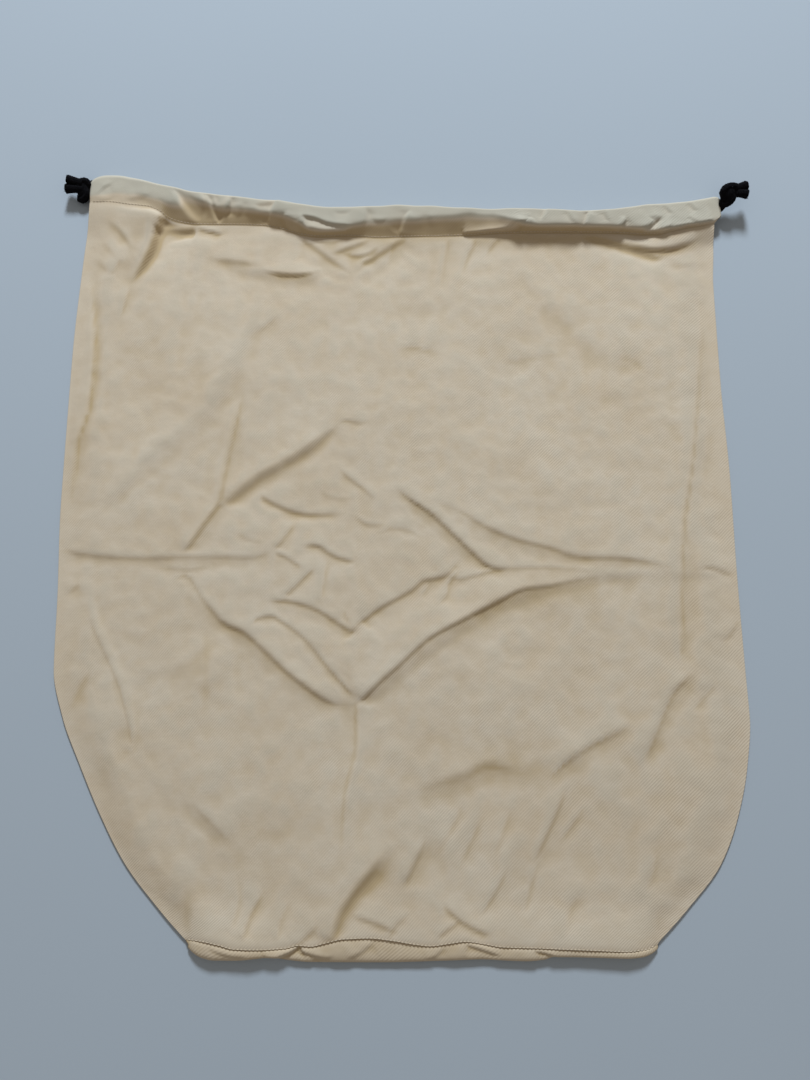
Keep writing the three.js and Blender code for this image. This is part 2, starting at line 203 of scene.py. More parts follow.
def twillMaterial(name, facts, turn=0.0):
    material, shader, maker = startMaterial(name, facts)
    flat = attribute(maker, "cloth", "Vector")
    split = maker.node("ShaderNodeSeparateXYZ", {}, Vector=flat)
    across, along = maker.wrap(split.outputs[0]), maker.wrap(split.outputs[1])
    angle = math.radians(facts["ribAngle"] + turn)
    wander = cloudy(maker, flat, facts["wanderScale"]) * facts["wander"]
    rib = ((across * math.sin(angle) - along * math.cos(angle))
           * (2 * math.pi / facts["ribPitch"]) + wander).sine()
    yarn = ((across * math.cos(angle) + along * math.sin(angle))
            * (2 * math.pi / facts["yarnPitch"]) + rib * facts["yarnSway"]).sine()
    patches = cloudy(maker, flat, facts["patchScale"], 2.0).clamped(*facts["middle"])
    weave = (rib * facts["ribHeight"] + yarn * facts["yarnHeight"]) \
        * (patches * facts["patchMore"] + facts["patchLeast"])
    small, large = [cloudy(maker, flat, scale, 2.0) * height
                    for scale, height in facts["slubs"]]
    drift = cloudy(maker, flat, facts["driftScale"], facts["driftDetail"],
                   facts["driftRoughness"]).clamped(*facts["middle"])
    speck = cloudy(maker, flat, facts["speckScale"]).clamped(*facts["speckRange"])
    # painted shading: above zero it is painted shade in hollows, folds and under the casing,
    # below zero painted cool light on the casing's top and on raised cloth
    paintedShading = attribute(maker, "paintedShading", "Fac")
    colour = blendColours(maker, drift, facts["pale"], facts["cream"])
    # over the cloth's own colour: tan flecks, painted shade in hollows, painted cool light on
    # raised cloth, and painted shade in the grooves of the ribs
    for share, tone in ((speck * facts["speckShare"], "tan"),
                        (paintedShading.clamped(0.0, 1.0) * facts["hollowShare"], "paintedShade"),
                        ((0 - paintedShading).clamped(0.0, 1.0), "paintedCoolLight"),
                        ((0.5 - rib * 0.5) * facts["ribShade"], "paintedShade")):
        colour = blendColours(maker, share, colour, facts[tone])
    maker.feed(shader, "Base Color", colour)
    addBump(maker, shader, weave + (small + large), facts["depth"])
    return material


cordFacts = {
    "first": (0.0025, 0.0025, 0.0035, 1), "second": (0.011, 0.0105, 0.013, 1),
    "roughness": 0.95, "sheen": 0.0, "gloss": 0.05, "range": (0.4, 0.75),
    "scale": 900.0, "detail": 4.0, "grain": 0.7, "bump": 0.8, "depth": 0.0003,
}
threadFacts = {
    "first": (0.66, 0.58, 0.47, 1), "second": (0.55, 0.45, 0.33, 1),
    "roughness": 0.8, "sheen": 0.1, "gloss": 0.18, "range": (0.0, 1.0),
    "scale": 2600.0, "detail": 2.0, "grain": 0.55, "bump": 0.5, "depth": 0.0001,
}


def fibreMaterial(name, facts):
    material, shader, maker = startMaterial(name, facts)
    fibre = cloudy(maker, objectPlace(maker), facts["scale"], facts["detail"], facts["grain"])
    maker.feed(shader, "Base Color", blendColours(maker, fibre.clamped(*facts["range"]),
                                                  facts["first"], facts["second"]))
    addBump(maker, shader, fibre, facts["depth"], facts["bump"])
    return material


twill = twillMaterial("twill", twillFacts)
stripTwill = twillMaterial("stripTwill", twillFacts, twillFacts["stripTurn"])
blackCotton = fibreMaterial("blackCotton", cordFacts)
thread = fibreMaterial("thread", threadFacts)
print("materials made")


def meshObject(name, points, faces, material, smooth=True):
    mesh = bpy.data.meshes.new(name)
    mesh.from_pydata(np.asarray(points).tolist(), [], faces)
    mesh.materials.append(material)
    mesh.polygons.foreach_set("use_smooth", [smooth] * len(mesh.polygons))
    mesh.update()
    made = bpy.data.objects.new(name, mesh)
    bpy.context.scene.collection.objects.link(made)
    return made


floorFacts = {"colour": (0.42, 0.477, 0.545), "lighter": 1.03, "patchScale": 3.0, "size": 3.0,
              "roughness": 0.95, "sheen": 0.0, "gloss": 0.18}


def floorMaterial(name, facts):
    material, shader, maker = startMaterial(name, facts)
    soft = cloudy(maker, objectPlace(maker), facts["patchScale"], 2.0)
    light = [min(1, part * facts["lighter"]) for part in facts["colour"]]
    colour = blendColours(maker, soft, (*facts["colour"], 1), (*light, 1))
    maker.feed(shader, "Base Color", colour)
    return material


def addFloor(facts):
    half = facts["size"] / 2
    corners = [(-half, -half, 0), (half, -half, 0), (half, half, 0), (-half, half, 0)]
    floor = meshObject("floor", corners, [(0, 1, 2, 3)], floorMaterial("floorPaint", facts),
                       smooth=False)


addFloor(floorFacts)

# The bag's outline as it lies.
outline = {
    # the side seams as x at each y
    "left": [(-265, -138), (-246, -157), (-217, -182), (-187, -200), (-155, -216),
             (-124, -230), (-92, -238.5), (-43, -240), (26, -243), (134, -243.5),
             (212, -241), (246, -239), (278, -238)],
    "right": [(-265, 161), (-246, 180.5), (-217, 205.5), (-187, 219), (-155, 227.5),
              (-124, 231.5), (-92, 231), (-26, 230.5), (43, 231), (114, 229.5),
              (190, 229.8), (222, 232), (262, 232.6)],
    # the folded mouth edge, the stitching below it and the bottom edge as y at each x
    "mouth": [(-249, 279), (-239, 279.6), (-228, 279.4), (-217, 278.8), (-206, 276.8),
              (-196, 274.2), (-185, 271.2), (-174, 268.4), (-163, 265.3), (-152, 263.6),
              (-131, 261), (-110, 258.4), (-89, 255.9), (-78, 254), (-67, 252.2),
              (-46, 251.2), (-25, 252), (0, 252.6), (15, 252), (30, 251), (50, 249.9),
              (100, 249.2), (128, 247.4), (155, 248.9), (170, 251.4), (182, 253.8),
              (206, 256), (219, 258), (230, 260.4), (240, 263), (247, 264)],
    "stitch": [(-240, 257), (-223, 256.4), (-208, 253.9), (-193, 251.8), (-185, 248.5),
               (-179, 244.5), (-170, 241), (-156, 239), (-128, 238.8), (-108, 238.2),
               (-92, 235), (-78, 230.4), (-64, 228.4), (-42, 229), (-19, 227.6), (-2, 228.2),
               (45, 229.4), (64, 231), (83, 231.8), (139, 231.8), (162, 231.2), (176, 230),
               (190, 229.8), (199, 232), (210, 234.3), (222, 236.7), (236, 240)],
    # the seam above the base strip, and the strip's lower edge
    "seam": [(-140, -263.4), (-133, -262.6), (-126, -263.2), (-118, -265), (-108, -267.4),
             (-91, -267.9), (-76, -267.2), (-68, -265.6), (-60, -266.2), (-51, -264.4),
             (-38, -262), (-22, -261.4), (-8, -262.8), (6, -265), (16, -266), (28, -264.6),
             (38, -263.4), (50, -264.8), (62, -266.6), (92, -267.3), (123, -268.4),
             (140, -269), (152, -268.2), (162, -265.4)],
    "bottom": [(-143, -264.6), (-140, -266), (-135, -269.8), (-129, -272.9), (-121, -274.4),
               (-108, -274.5), (-95, -273.4), (-86, -272.8), (-73, -274.4), (-60, -275.5),
               (-16, -275.7), (29, -274.6), (48, -274), (76, -275), (88, -274.2),
               (95, -272.4), (124, -272.8), (142, -273.2), (150, -272.6), (157, -270.6),
               (163, -266.6)],
    # height of the cloth along the stitching, how far the body takes to reach it, and the
    # height along the base strip
    "lip": [(-241, 4.4), (-226, 5.2), (-212, 5.8), (-200, 6.3), (-190, 6.8), (-185, 6.4),
            (-179, 3.8), (-174, 3.2), (-168, 3.2), (-120, 3.4), (-80, 3.6), (-50, 4.2),
            (172, 4.2), (185, 4.6), (198, 5.6), (212, 6.0), (237, 5.6)],
    "reach": [(-241, 30), (-192, 30), (-184, 9), (-177, 7), (-80, 8), (-50, 15), (180, 15),
              (192, 16), (205, 18), (237, 18)],
    "stripTop": [(-140, 1.6), (-133, 4.6), (-122, 6.1), (-100, 6.3), (-84, 5.2), (-66, 4.5),
                 (-40, 4.2), (60, 4.2), (86, 4.6), (100, 5.4), (140, 5.4), (152, 4.4),
                 (162, 1.6)],
    # the y at which the casing takes its width from the side seams, the straight lower edge of
    # the lower panel, and how far the casing stands out at the right
    "mouthLine": 262, "backLow": -259.0, "overhang": 4.6, "overhangShare": 0.2,
    "thickness": 0.6,
}


def ease(t):
    t = np.clip(t, 0, 1)
    return t * t * (3 - 2 * t)


def fadeEnds(t, start, end):  # from zero at both ends of a share to one between them
    return ease(t / start) * ease((1 - t) / end)


def smoothTable(points):  # a curve through a table that doesn't swing past its points
    at, value = np.array(points, float).T
    rate = np.diff(value) / np.diff(at)
    pair = rate[:-1] * rate[1:]
    total = np.where(rate[:-1] + rate[1:] == 0, 1, rate[:-1] + rate[1:])
    inner = np.where(pair > 0, 2 * pair / total, 0)
    slope = np.concatenate([rate[:1], inner, rate[-1:]])

    def read(where):
        where = np.clip(np.asarray(where, float), at[0], at[-1])
        i = np.clip(np.searchsorted(at, where, side="right") - 1, 0, len(rate) - 1)
        span = at[i + 1] - at[i]
        t = (where - at[i]) / span
        lean = t * (1 - t) * span
        return (value[i] + (value[i + 1] - value[i]) * ease(t)
                + lean * ((1 - t) * slope[i] - t * slope[i + 1]))

    return read


leftAt, rightAt, mouthAt, stitchAt, seamAt, bottomAt, lipAt, reachAt, stripTopAt = [
    smoothTable(outline[name]) for name in
    ("left", "right", "mouth", "stitch", "seam", "bottom", "lip", "reach", "stripTop")]


def ladder(stretches):  # shares from stretches of start, end and number of steps
    rungs = [np.array([stretches[0][0]])]
    for start, end, steps in stretches:
        rungs.append(np.linspace(start, end, steps + 1)[1:])
    return np.concatenate(rungs)


def across(u, y):  # x at a height, for u from -1 at the left seam to 1 at the right one
    return leftAt(y) + (rightAt(y) - leftAt(y)) * (u + 1) / 2


def baseX(u):
    return across(u, outline["left"][0][0])


def mouthX(u):
    return across(u, outline["mouthLine"])


def overhangX(u):
    share = outline["overhangShare"]
    return outline["overhang"] * ease((u - 1 + share) / share)


def toSeam(x, y):  # distance to the nearer side seam
    return np.minimum(x - leftAt(y), rightAt(y) - x)


# Folds and creases of the upper layer. Each line runs from left to right, or upwards.
# On its upper or left side the cloth rises to the crest over a length, then it falls over
# the face to the foot, and levels out again.
creases = [
    # line, crest, foot, face, above, below, fade in, fade out
    # the main fold below the middle, and the one that meets it from the left
    ([(-32, -114), (-19, -101), (-5, -89), (8, -77), (20, -68), (41, -57), (66, -44),
      (81, -37), (99, -35), (131, -29), (158, -27)], .62, .30, 3.0, 7, 6, .03, .5),
    ([(-140, -40), (-137, -46), (-124, -59), (-109, -66), (-97, -76), (-76, -95),
      (-48, -114), (-36, -113)], .55, .32, 4.4, 6, 5, .25, .2),
    ([(-160, -36), (-158, -30), (-152, -28), (-146, -32), (-139, -43), (-124, -60)],
     .18, .22, 1.8, 5, 4, .25, .25),
    ([(-106, -65), (-102, -58), (-96, -56), (-88, -57), (-68, -71), (-51, -91), (-32, -112)],
     .22, .34, 2.2, 5, 4, .08, .10),
    ([(-32, -114), (-32, -143), (-35, -158), (-39, -175), (-41, -206)],
     .20, .28, 2.4, 7, 6, .04, .45),
    # the strong fold left of the middle
    ([(-134, 21), (-107, 44), (-81, 59), (-62, 73), (-44, 86)], .62, .72, 7.0, 8, 5, .12, .3),
    ([(-50, 83), (-42, 85), (-34, 83), (-24, 84)], .15, .25, 2.2, 4, 4, .3, .4),
    # the long crease that comes down to the left
    ([(-131, 22), (-128, 46), (-123, 76), (-116, 112)], .36, .42, 2.6, 8, 5, .06, .45),
    ([(-155, -13), (-144, 4), (-131, 24)], .38, .42, 3.4, 7, 5, .20, .05),
    # from the left casing corner downwards
    ([(-206, 190), (-199, 200), (-194, 211), (-190.5, 222), (-188, 232), (-185, 243),
      (-181, 256)], 3.0, 2.3, 4.8, 15, 8, .5, .22),
    ([(-189, 238), (-179, 236.5), (-168, 236), (-157, 237.5)], .5, 2.2, 5, 4, 4, .1, .15),
    ([(-210, 163), (-208, 175), (-205, 189)], .25, .28, 3.0, 6, 5, .4, .3),
    ([(-225, 244), (-215, 236), (-207, 226), (-202, 215)], .3, .2, 4.5, 7, 6, .3, .4),
    ([(-228, 226), (-219, 219), (-212, 207)], .2, .2, 4.5, 5, 5, .4, .4),
    ([(-232, 213), (-222, 204), (-214, 197)], .1, .2, 4, 5, 5, .4, .4),
    ([(-222, 196), (-216, 205), (-213, 214)], .15, .2, 2.8, 4, 5, .35, .35),
    # below the casing, left of its middle
    ([(-156, 237), (-146, 234), (-136, 232)], .5, .5, 2.2, 3, 4, .1, .3),
    ([(-150, 213), (-136, 211.5), (-120, 209.5), (-104, 205)], .25, .4, 6, 10, 6, .45, .4),
    ([(-112, 203.6), (-98, 199.6), (-82, 198.4), (-70, 199.6), (-58, 202)],
     .45, .6, 2.8, 7, 4, .5, .45),
    ([(-77, 230), (-66, 221), (-56, 213), (-46, 205.5), (-36, 197)],
     .3, .42, 5.5, 10, 7, .12, .4),
    ([(-40, 198), (-31, 208.5), (-21, 215.5), (-11, 222), (1, 230)],
     .3, .34, 5.0, 10, 7, .4, .1),
    ([(-56, 215), (-45, 219.5), (-33, 224), (-25, 227)], .3, .3, 3.4, 3.4, 4, .3, .3),
    ([(-47, 216), (-36, 214), (-28, 215.5), (-20, 221)], .2, .36, 3.2, 4, 3.4, .3, .3),
    ([(-35, 208.5), (-28, 209.5), (-21, 213.5)], .15, .26, 2.8, 3, 3, .3, .3),
    ([(-72, 228), (-60, 225.5), (-46, 225.5)], .15, .3, 2.8, 3, 3, .2, .3),
    ([(-110, 152), (-101, 159), (-93, 166)], .2, .24, 2.6, 6, 5, .35, .35),
    # the fold along the left seam
    ([(-236, 24), (-235, 43), (-234, 69), (-228, 95), (-227, 133), (-230, 165),
      (-234, 190), (-237, 210)], .34, .36, 2.2, 7, 5, .15, .35),
    # under the middle of the casing, and to its right
    ([(-14, 200), (-12, 214), (-8, 227)], .12, .15, 3, 6, 6, .5, .1),
    ([(25, 180), (27, 200), (31, 227)], .22, .18, 3.5, 7, 7, .6, .1),
    ([(40, 190), (44, 208), (52, 227)], .22, .22, 3.5, 6, 7, .6, .1),
    ([(58, 208), (62, 218), (69, 228)], .16, .2, 3, 5, 6, .6, .1),
    ([(128, 231), (150, 227.5), (172, 219.5), (196, 211)], .3, .6, 5, 6, 3.4, .3, .15),
    ([(158, 224.5), (172, 221.4), (185, 219.4), (198, 220.2), (210, 223.6), (224, 230)],
     1.7, .45, 3.2, 5, 5, .4, .4),
    ([(198, 209), (206, 206.5), (216, 207)], .14, .18, 2.8, 4, 4, .35, .35),
    ([(150, 135), (166, 132), (177, 121)], .08, .18, 4, 8, 5, .4, .3),
    ([(68, 128), (95, 134), (122, 138)], .12, .14, 3.5, 8, 7, .3, .4),
    ([(-8, 141), (8, 141), (27, 135)], .14, .22, 3, 5, 5, .3, .4),
    # the crease along the right seam
    ([(186, -91), (188, -70), (191, -28), (195, 10), (203, 48), (210, 92), (215, 128),
      (218, 160)], .24, .34, 2.6, 8, 6, .08, .5),
    ([(205, 60), (211, 110), (216, 150), (217, 200)], .08, .14, 3, 8, 6, .4, .4),
    # across the bag, on both sides of the middle
    ([(-241, -9), (-215, -13), (-182, -15), (-155, -14), (-122, -14), (-103, -14),
      (-90, -8)], .12, .26, 3.4, 9, 5, .10, .15),
    ([(-178, -23), (-165, -22), (-150, -23), (-130, -21)], .10, .16, 3, 4, 4, .3, .4),
    ([(62, -24), (87, -22), (113, -23), (140, -25)], .10, .24, 2.6, 5, 5, .2, .4),
    ([(10, 33), (25, 24), (42, 17), (54, 9), (77, -1), (103, -8), (120, -14), (152, -15),
      (174, -19), (191, -24)], .22, .36, 4.0, 12, 7, .35, .2),
    ([(203, -21), (215, -22), (229, -28)], .22, .34, 3, 5, 4, .3, .15),
    ([(217, -74), (222, -68), (229, -58)], .2, .28, 2.4, 5, 5, .3, .2),
    # the small folds round the middle
    ([(-8, 38), (1, 29), (18, 17), (33, 3), (47, -11), (59, -21), (74, -23)],
     .46, .50, 2.8, 9, 5, .25, .12),
    ([(-103, 31), (-93, 25), (-76, 18), (-55, 16), (-36, 18)], .12, .62, 4.2, 7, 3.6, .10, .5),
    ([(-91, -9), (-84, 0), (-78, 10)], .28, .32, 2.6, 4, 4, .15, .25),
    ([(-74, -7), (-66, -6), (-59, -7), (-48, -14), (-34, -18)], .28, .42, 2.8, 5, 4, .25, .15),
    ([(-90, -11), (-80, -16), (-69, -24)], .22, .32, 2.4, 4, 4, .15, .25),
    ([(-84, -43), (-72, -31), (-62, -21)], .26, .30, 2.4, 5, 4, .2, .25),
    ([(-58, -49), (-57, -33), (-54, -16)], .22, .24, 2.4, 5, 4, .3, .3),
    ([(-94, -45), (-82, -45), (-71, -47), (-58, -52), (-47, -59), (-33, -68)],
     .16, .52, 3.0, 6, 3.6, .12, .08),
    ([(-42, -52), (-38, -59), (-35, -67)], .14, .2, 2.2, 4, 4, .3, .2),
    ([(-32, -61), (-24, -54), (-13, -47), (3, -38), (12, -31), (28, -27), (40, -13)],
     .14, .66, 3.6, 8, 4, .06, .3),
    ([(-39, -70), (-35, -64), (-29, -57)], .22, .2, 2.2, 4, 4, .25, .25),
    ([(29, -28), (38, -30), (47, -28), (58, -25), (74, -23)], .2, .26, 2.4, 5, 4, .2, .3),
    ([(22, -50), (28, -41), (31, -31), (38, -24)], .24, .32, 2.4, 5, 4, .3, .2),
    ([(10, -44), (14, -38), (16, -32)], .12, .18, 2.2, 4, 4, .3, .3),
    ([(-47, 49), (-36, 40), (-27, 33), (-19, 24)], .22, .30, 2.8, 6, 5, .25, .3),
    ([(-36, 16), (-27, 9), (-13, 8)], .18, .26, 2.6, 5, 4, .3, .3),
    ([(-20, 0), (-10, 6), (4, 4), (16, -4)], .12, .18, 3, 6, 5, .3, .4),
    ([(-118, 4), (-108, -2), (-96, -4)], .12, .16, 3, 5, 5, .3, .4),
    ([(-64, 35), (-50, 28), (-34, 27)], .10, .16, 3, 6, 5, .35, .4),
    # lower left
    ([(-219, -30), (-216, -52), (-212, -64), (-202, -83), (-193, -101), (-186, -120),
      (-181, -142), (-180, -146)], .16, .22, 1.8, 5, 6, .35, .10),
    ([(-188, -144), (-183, -145), (-178, -143)], .1, .14, 2, 4, 4, .3, .3),
    ([(-234, -41), (-226, -33)], .2, .24, 3, 6, 5, .3, .3),
    ([(-226, -122), (-221, -104), (-213, -90)], .14, .3, 5, 8, 6, .35, .35),
    ([(-143, -177), (-137, -181), (-126, -190), (-112, -204)], .18, .26, 3.4, 8, 6, .35, .3),
    ([(-104, -262), (-99, -246), (-90, -230)], .30, .36, 3.4, 8, 6, .12, .35),
    # lower middle and right
    ([(-49, -263), (-46, -253), (-41, -242), (-29, -226), (-11, -206)],
     0.85, 0.75, 5.5, 9, 9, .06, .35),
    ([(-3, -231), (4, -217), (13, -200)], .4, .55, 4.5, 8, 7, .3, .3),
    ([(-71, -266), (-64, -260), (-55, -252)], .24, .32, 3.0, 5, 5, .2, .3),
    ([(-36, -247), (-20, -251), (-3, -258)], .24, .34, 3.0, 6, 5, .3, .3),
    ([(-6, -172), (20, -165), (40, -159), (53, -153), (70, -156), (88, -163)],
     .24, .45, 6.0, 10, 6, .6, .3),
    ([(94, -165), (100, -158), (107, -152), (119, -144), (133, -137), (151, -129)],
     .34, .52, 2.2, 8, 4.5, .25, .15),
    ([(82, -217), (90, -201), (99, -183), (106, -167)], .34, .38, 3.0, 7, 5, .25, .25),
    ([(99, -204), (108, -193), (117, -181)], .2, .26, 3.0, 6, 5, .3, .3),
    ([(155, -156), (164, -139), (173, -120), (181, -106), (192, -95)],
     .34, .46, 3.0, 9, 5, .25, .12),
    ([(190, -122), (200, -111), (211, -99)], .12, .2, 3.6, 7, 5, .35, .35),
    ([(47, -249), (57, -233), (66, -217)], .22, .28, 4, 7, 7, .35, .35),
    ([(34, -219), (42, -202), (50, -186)], .18, .22, 4, 7, 7, .35, .35),
    ([(18, -212), (28, -196), (38, -178)], .14, .2, 4, 7, 7, .35, .35),
    ([(56, -214), (62, -198), (69, -182)], .14, .2, 4, 6, 6, .35, .35),
    ([(24, -240), (38, -251), (57, -260)], .36, .42, 3.6, 6, 4, .2, .2),
    ([(19, -261), (26, -256), (36, -250)], .24, .28, 2.6, 4, 4, .2, .3),
    ([(156, -232), (160, -220), (162, -207)], .14, .2, 3.4, 7, 6, .35, .35),
    ([(76, -248), (79, -232), (86, -214)], .14, .22, 4, 8, 6, .35, .35),
    ([(-113, -258), (-108, -240), (-109, -224)], .12, .16, 4, 7, 6, .2, .4),
    ([(100, -262), (104, -246), (112, -232)], .10, .14, 4, 7, 6, .2, .4),
    ([(-12, -262), (-6, -252), (4, -246)], .16, .22, 3, 5, 5, .15, .35),
    ([(-82, -262), (-80, -250), (-74, -238)], .16, .2, 3, 6, 5, .15, .4),
]

# Broad soft forms under the creases, given in the same way.
swells = [
    ([(-36, -116), (-5, -88), (41, -56), (81, -37), (131, -29), (175, -25)],
     1.25, .45, 12, 24, 17, .08, .4),
    ([(-160, -36), (-137, -45), (-109, -66), (-76, -95), (-36, -114)],
     .6, .3, 11, 13, 12, .2, .15),
    ([(-32, -110), (-33, -143), (-37, -170), (-42, -210)], .35, .35, 10, 14, 12, .1, .4),
    ([(-131, 22), (-107, 43), (-81, 59), (-44, 86)], .75, .45, 10, 14, 11, .15, .3),
    ([(-222, 12), (-180, 62), (-150, 89), (-127, 130), (-101, 190)], 1.35, .15, 15, 10, 15,
     .3, .3),
    ([(-153, -10), (-131, 24), (-128, 46), (-121, 85)], .35, .45, 9, 14, 10, .1, .4),
    ([(-169, 96), (-172, 140), (-171, 177), (-165, 226)], .45, .3, 11, 14, 14, .4, .2),
    ([(-159, 150), (-157, 200), (-148, 230)], .55, .05, 10, 10, 12, .5, .15),
    ([(-145, 212), (-110, 203), (-80, 199), (-55, 201)], .6, .6, 9, 14, 10, .35, .25),
    ([(-102, 190), (-77, 196), (-58, 195), (-38, 186)], .4, .1, 9, 6, 12, .3, .3),
    ([(-76, 222), (-58, 208), (-39, 195)], .1, .5, 8, 10, 7, .1, .2),
    ([(-39, 195), (-22, 207), (-4, 222)], .1, .5, 8, 10, 7, .2, .1),
    ([(84, 210), (107, 181), (130, 155), (150, 136), (176, 120)], .3, .6, 14, 16, 14, .3, .3),
    ([(-240, 20), (-237, 80), (-231, 130), (-238, 205)], .4, .3, 7, 8, 8, .3, .3),
    ([(186, -91), (191, -28), (203, 48), (212, 105), (218, 170)], .3, .6, 12, 16, 12, .12, .4),
    ([(-241, -8), (-182, -13), (-122, -13), (-88, -9)], .25, .35, 9, 14, 10, .12, .15),
    ([(14, 30), (54, 10), (103, -7), (152, -13), (192, -22)], .4, .35, 12, 18, 12, .3, .3),
    ([(70, -25), (130, -24), (180, -24), (230, -27)], .35, .2, 9, 9, 12, .3, .3),
    ([(-8, 38), (18, 17), (47, -10), (70, -22)], .5, .4, 9, 16, 10, .3, .2),
    ([(-31, -60), (3, -38), (38, -16)], .1, .55, 9, 14, 9, .1, .3),
    ([(-94, -45), (-60, -52), (-33, -67)], .1, .5, 8, 12, 8, .15, .1),
    ([(-180, -146), (-193, -101), (-212, -64), (-219, -30)], .35, .25, 8, 16, 10, .2, .3),
    ([(-150, -112), (-133, -95), (-128, -70)], .2, .3, 12, 14, 12, .35, .35),
    ([(-122, -130), (-121, -95), (-122, -62)], .15, .4, 9, 12, 12, .4, .15),
    ([(-147, -174), (-126, -190), (-110, -207)], .3, .4, 9, 12, 10, .35, .35),
    ([(-49, -262), (-41, -242), (-29, -226), (-4, -200)], .9, .8, 10, 14, 14, .15, .35),
    ([(-4, -232), (4, -217), (14, -198)], .3, .5, 10, 10, 10, .3, .3),
    ([(-6, -173), (20, -166), (53, -156), (90, -164)], .4, .6, 12, 16, 12, .3, .3),
    ([(92, -167), (119, -145), (155, -128)], .35, .3, 8, 14, 9, .3, .25),
    ([(78, -226), (99, -184), (108, -160)], .35, .4, 9, 11, 10, .3, .3),
    ([(153, -158), (173, -121), (194, -92)], .4, .45, 9, 14, 10, .25, .2),
    ([(40, -252), (60, -226), (84, -180)], .2, .3, 12, 12, 12, .35, .35),
    ([(20, -218), (40, -190), (52, -172)], .2, .25, 10, 10, 10, .35, .35),
    ([(150, -240), (158, -215), (162, -195)], .2, .25, 9, 12, 12, .35, .35),
    ([(-205, -120), (-190, -160), (-170, -200)][::-1], .2, .25, 12, 14, 14, .35, .35),
]


def smoothLine(points, step=1.4):  # stations along a smooth line through the points
    points = np.array(points, float)
    ends = np.vstack([2 * points[0] - points[1], points, 2 * points[-1] - points[-2]])
    stations = []
    for i in range(1, len(ends) - 2):
        a, b, c, d = ends[i - 1:i + 3]
        count = max(2, int(np.linalg.norm(c - b) / step))
        t = np.linspace(0, 1, count, endpoint=False)[:, None]
        stations.append(0.5 * (2 * b + (c - a) * t + (2 * a - 5 * b + 4 * c - d) * t ** 2
                               + (3 * b - a - 3 * c + d) * t ** 3))
    return np.vstack([*stations, points[-1:]])


def lengthAlong(line):  # distance walked to each point of a line
    return np.concatenate([[0], np.cumsum(np.linalg.norm(np.diff(line, axis=0), axis=1))])


def pointsAt(at, walked, line):
    return np.stack([np.interp(at, walked, part) for part in line.T], 1)


def settle(q, soft=0.35):  # falls away from one, rounded at its start
    return np.exp(soft - np.sqrt(q * q + soft * soft))


def beside(points, reach, x, y):
    # which places lie near a line, how far to its left, and how far along it
    line = smoothLine(points)
    low, high = line.min(0) - reach, line.max(0) + reach
    near = (x > low[0]) & (x < high[0]) & (y > low[1]) & (y < high[1])
    px, py = x[near], y[near]
    gap = (px[:, None] - line[:, 0]) ** 2 + (py[:, None] - line[:, 1]) ** 2
    k = gap.argmin(1)
    run = np.gradient(line, axis=0)
    side = run[k, 0] * (py - line[k, 1]) - run[k, 1] * (px - line[k, 0])
    d = np.sign(side) * np.sqrt(gap[np.arange(len(k)), k])
    walked = lengthAlong(line)
    return near, d, walked[k] / walked[-1]


# Painted shade along deep folds and under the casing: line, strength, half width, fade in and
# out.
foldShadeLines = [
    # the strong fold at the left, and the wedge between it and the stitches
    ([(-205, 191), (-197, 202), (-191, 214), (-187, 226), (-184, 238)], 0.95, 3.2, .5, .1),
    ([(-186, 242), (-176, 238), (-164, 236.5), (-154, 237.5)], 0.7, 3.4, .1, .3),
    # inside the V, and the crease left of it
    ([(-62, 224), (-46, 217), (-34, 210), (-20, 218), (-8, 226)], 0.34, 7.0, .2, .2),
    ([(-102, 199), (-84, 196.6), (-68, 198.6)], 0.55, 2.6, .4, .3),
    # below the main folds
    ([(30, -72), (60, -52), (90, -43), (120, -40), (150, -44)], 0.38, 11.0, .2, .3),
    # the long creases left of the middle, and those along the two side seams
    ([(-154, -12), (-144, 4), (-132, 21), (-129, 46), (-124, 76), (-118, 108)], 0.4, 2.8,
     .2, .4),
    ([(188, -85), (191, -28), (195, 10), (203, 48), (210, 92), (215, 128), (218, 160)],
     0.4, 2.2, .15, .3),
    ([(-236, 24), (-235, 43), (-234, 69), (-228, 95), (-227, 133), (-230, 165)], 0.5, 1.7,
     .2, .3),
    ([(-2, -173), (20, -166), (42, -160)], 0.15, 7.0, .3, .3),
    ([(40, -158), (56, -152), (72, -153), (92, -162)], 0.50, 6.0, .3, .3),
    ([(-42, -215), (-39, -175), (-35, -158), (-32, -143), (-32, -116)], 0.40, 1.8, .4, .05),
    ([(-134, -122), (-134, -95), (-136, -66)], 0.30, 2.6, .4, .2),
    ([(-150, -100), (-134, -82), (-120, -72)], 0.25, 10.0, .3, .3),
    ([(-44, -256), (-38, -243), (-26, -227), (-10, -210)], 0.40, 5.0, .2, .4),
    # in the shadow under the casing, its middle and its right half
    ([(-64, 227), (-44, 227), (-14, 226), (16, 226.5), (46, 227.5)], 0.60, 3.4, .3, .2),
    ([(44, 228), (58, 226.5), (70, 227), (90, 228), (110, 226.5), (130, 227.5), (150, 226.5),
      (170, 221), (190, 216)], 0.75, 4.2, .1, .4),
    ([(186, 226), (200, 228), (214, 232.5), (228, 236)], 0.6, 2.2, .2, .15),
    # pleats of the casing
    ([(-146, 240), (-148, 249), (-151, 259)], 0.35, 2.4, .2, .3),
    ([(-139, 248), (-135, 254), (-131, 260)], 0.35, 2.2, .3, .3),
    ([(-112, 252), (-104, 253), (-97, 254)], 0.3, 2.4, .3, .3),
]


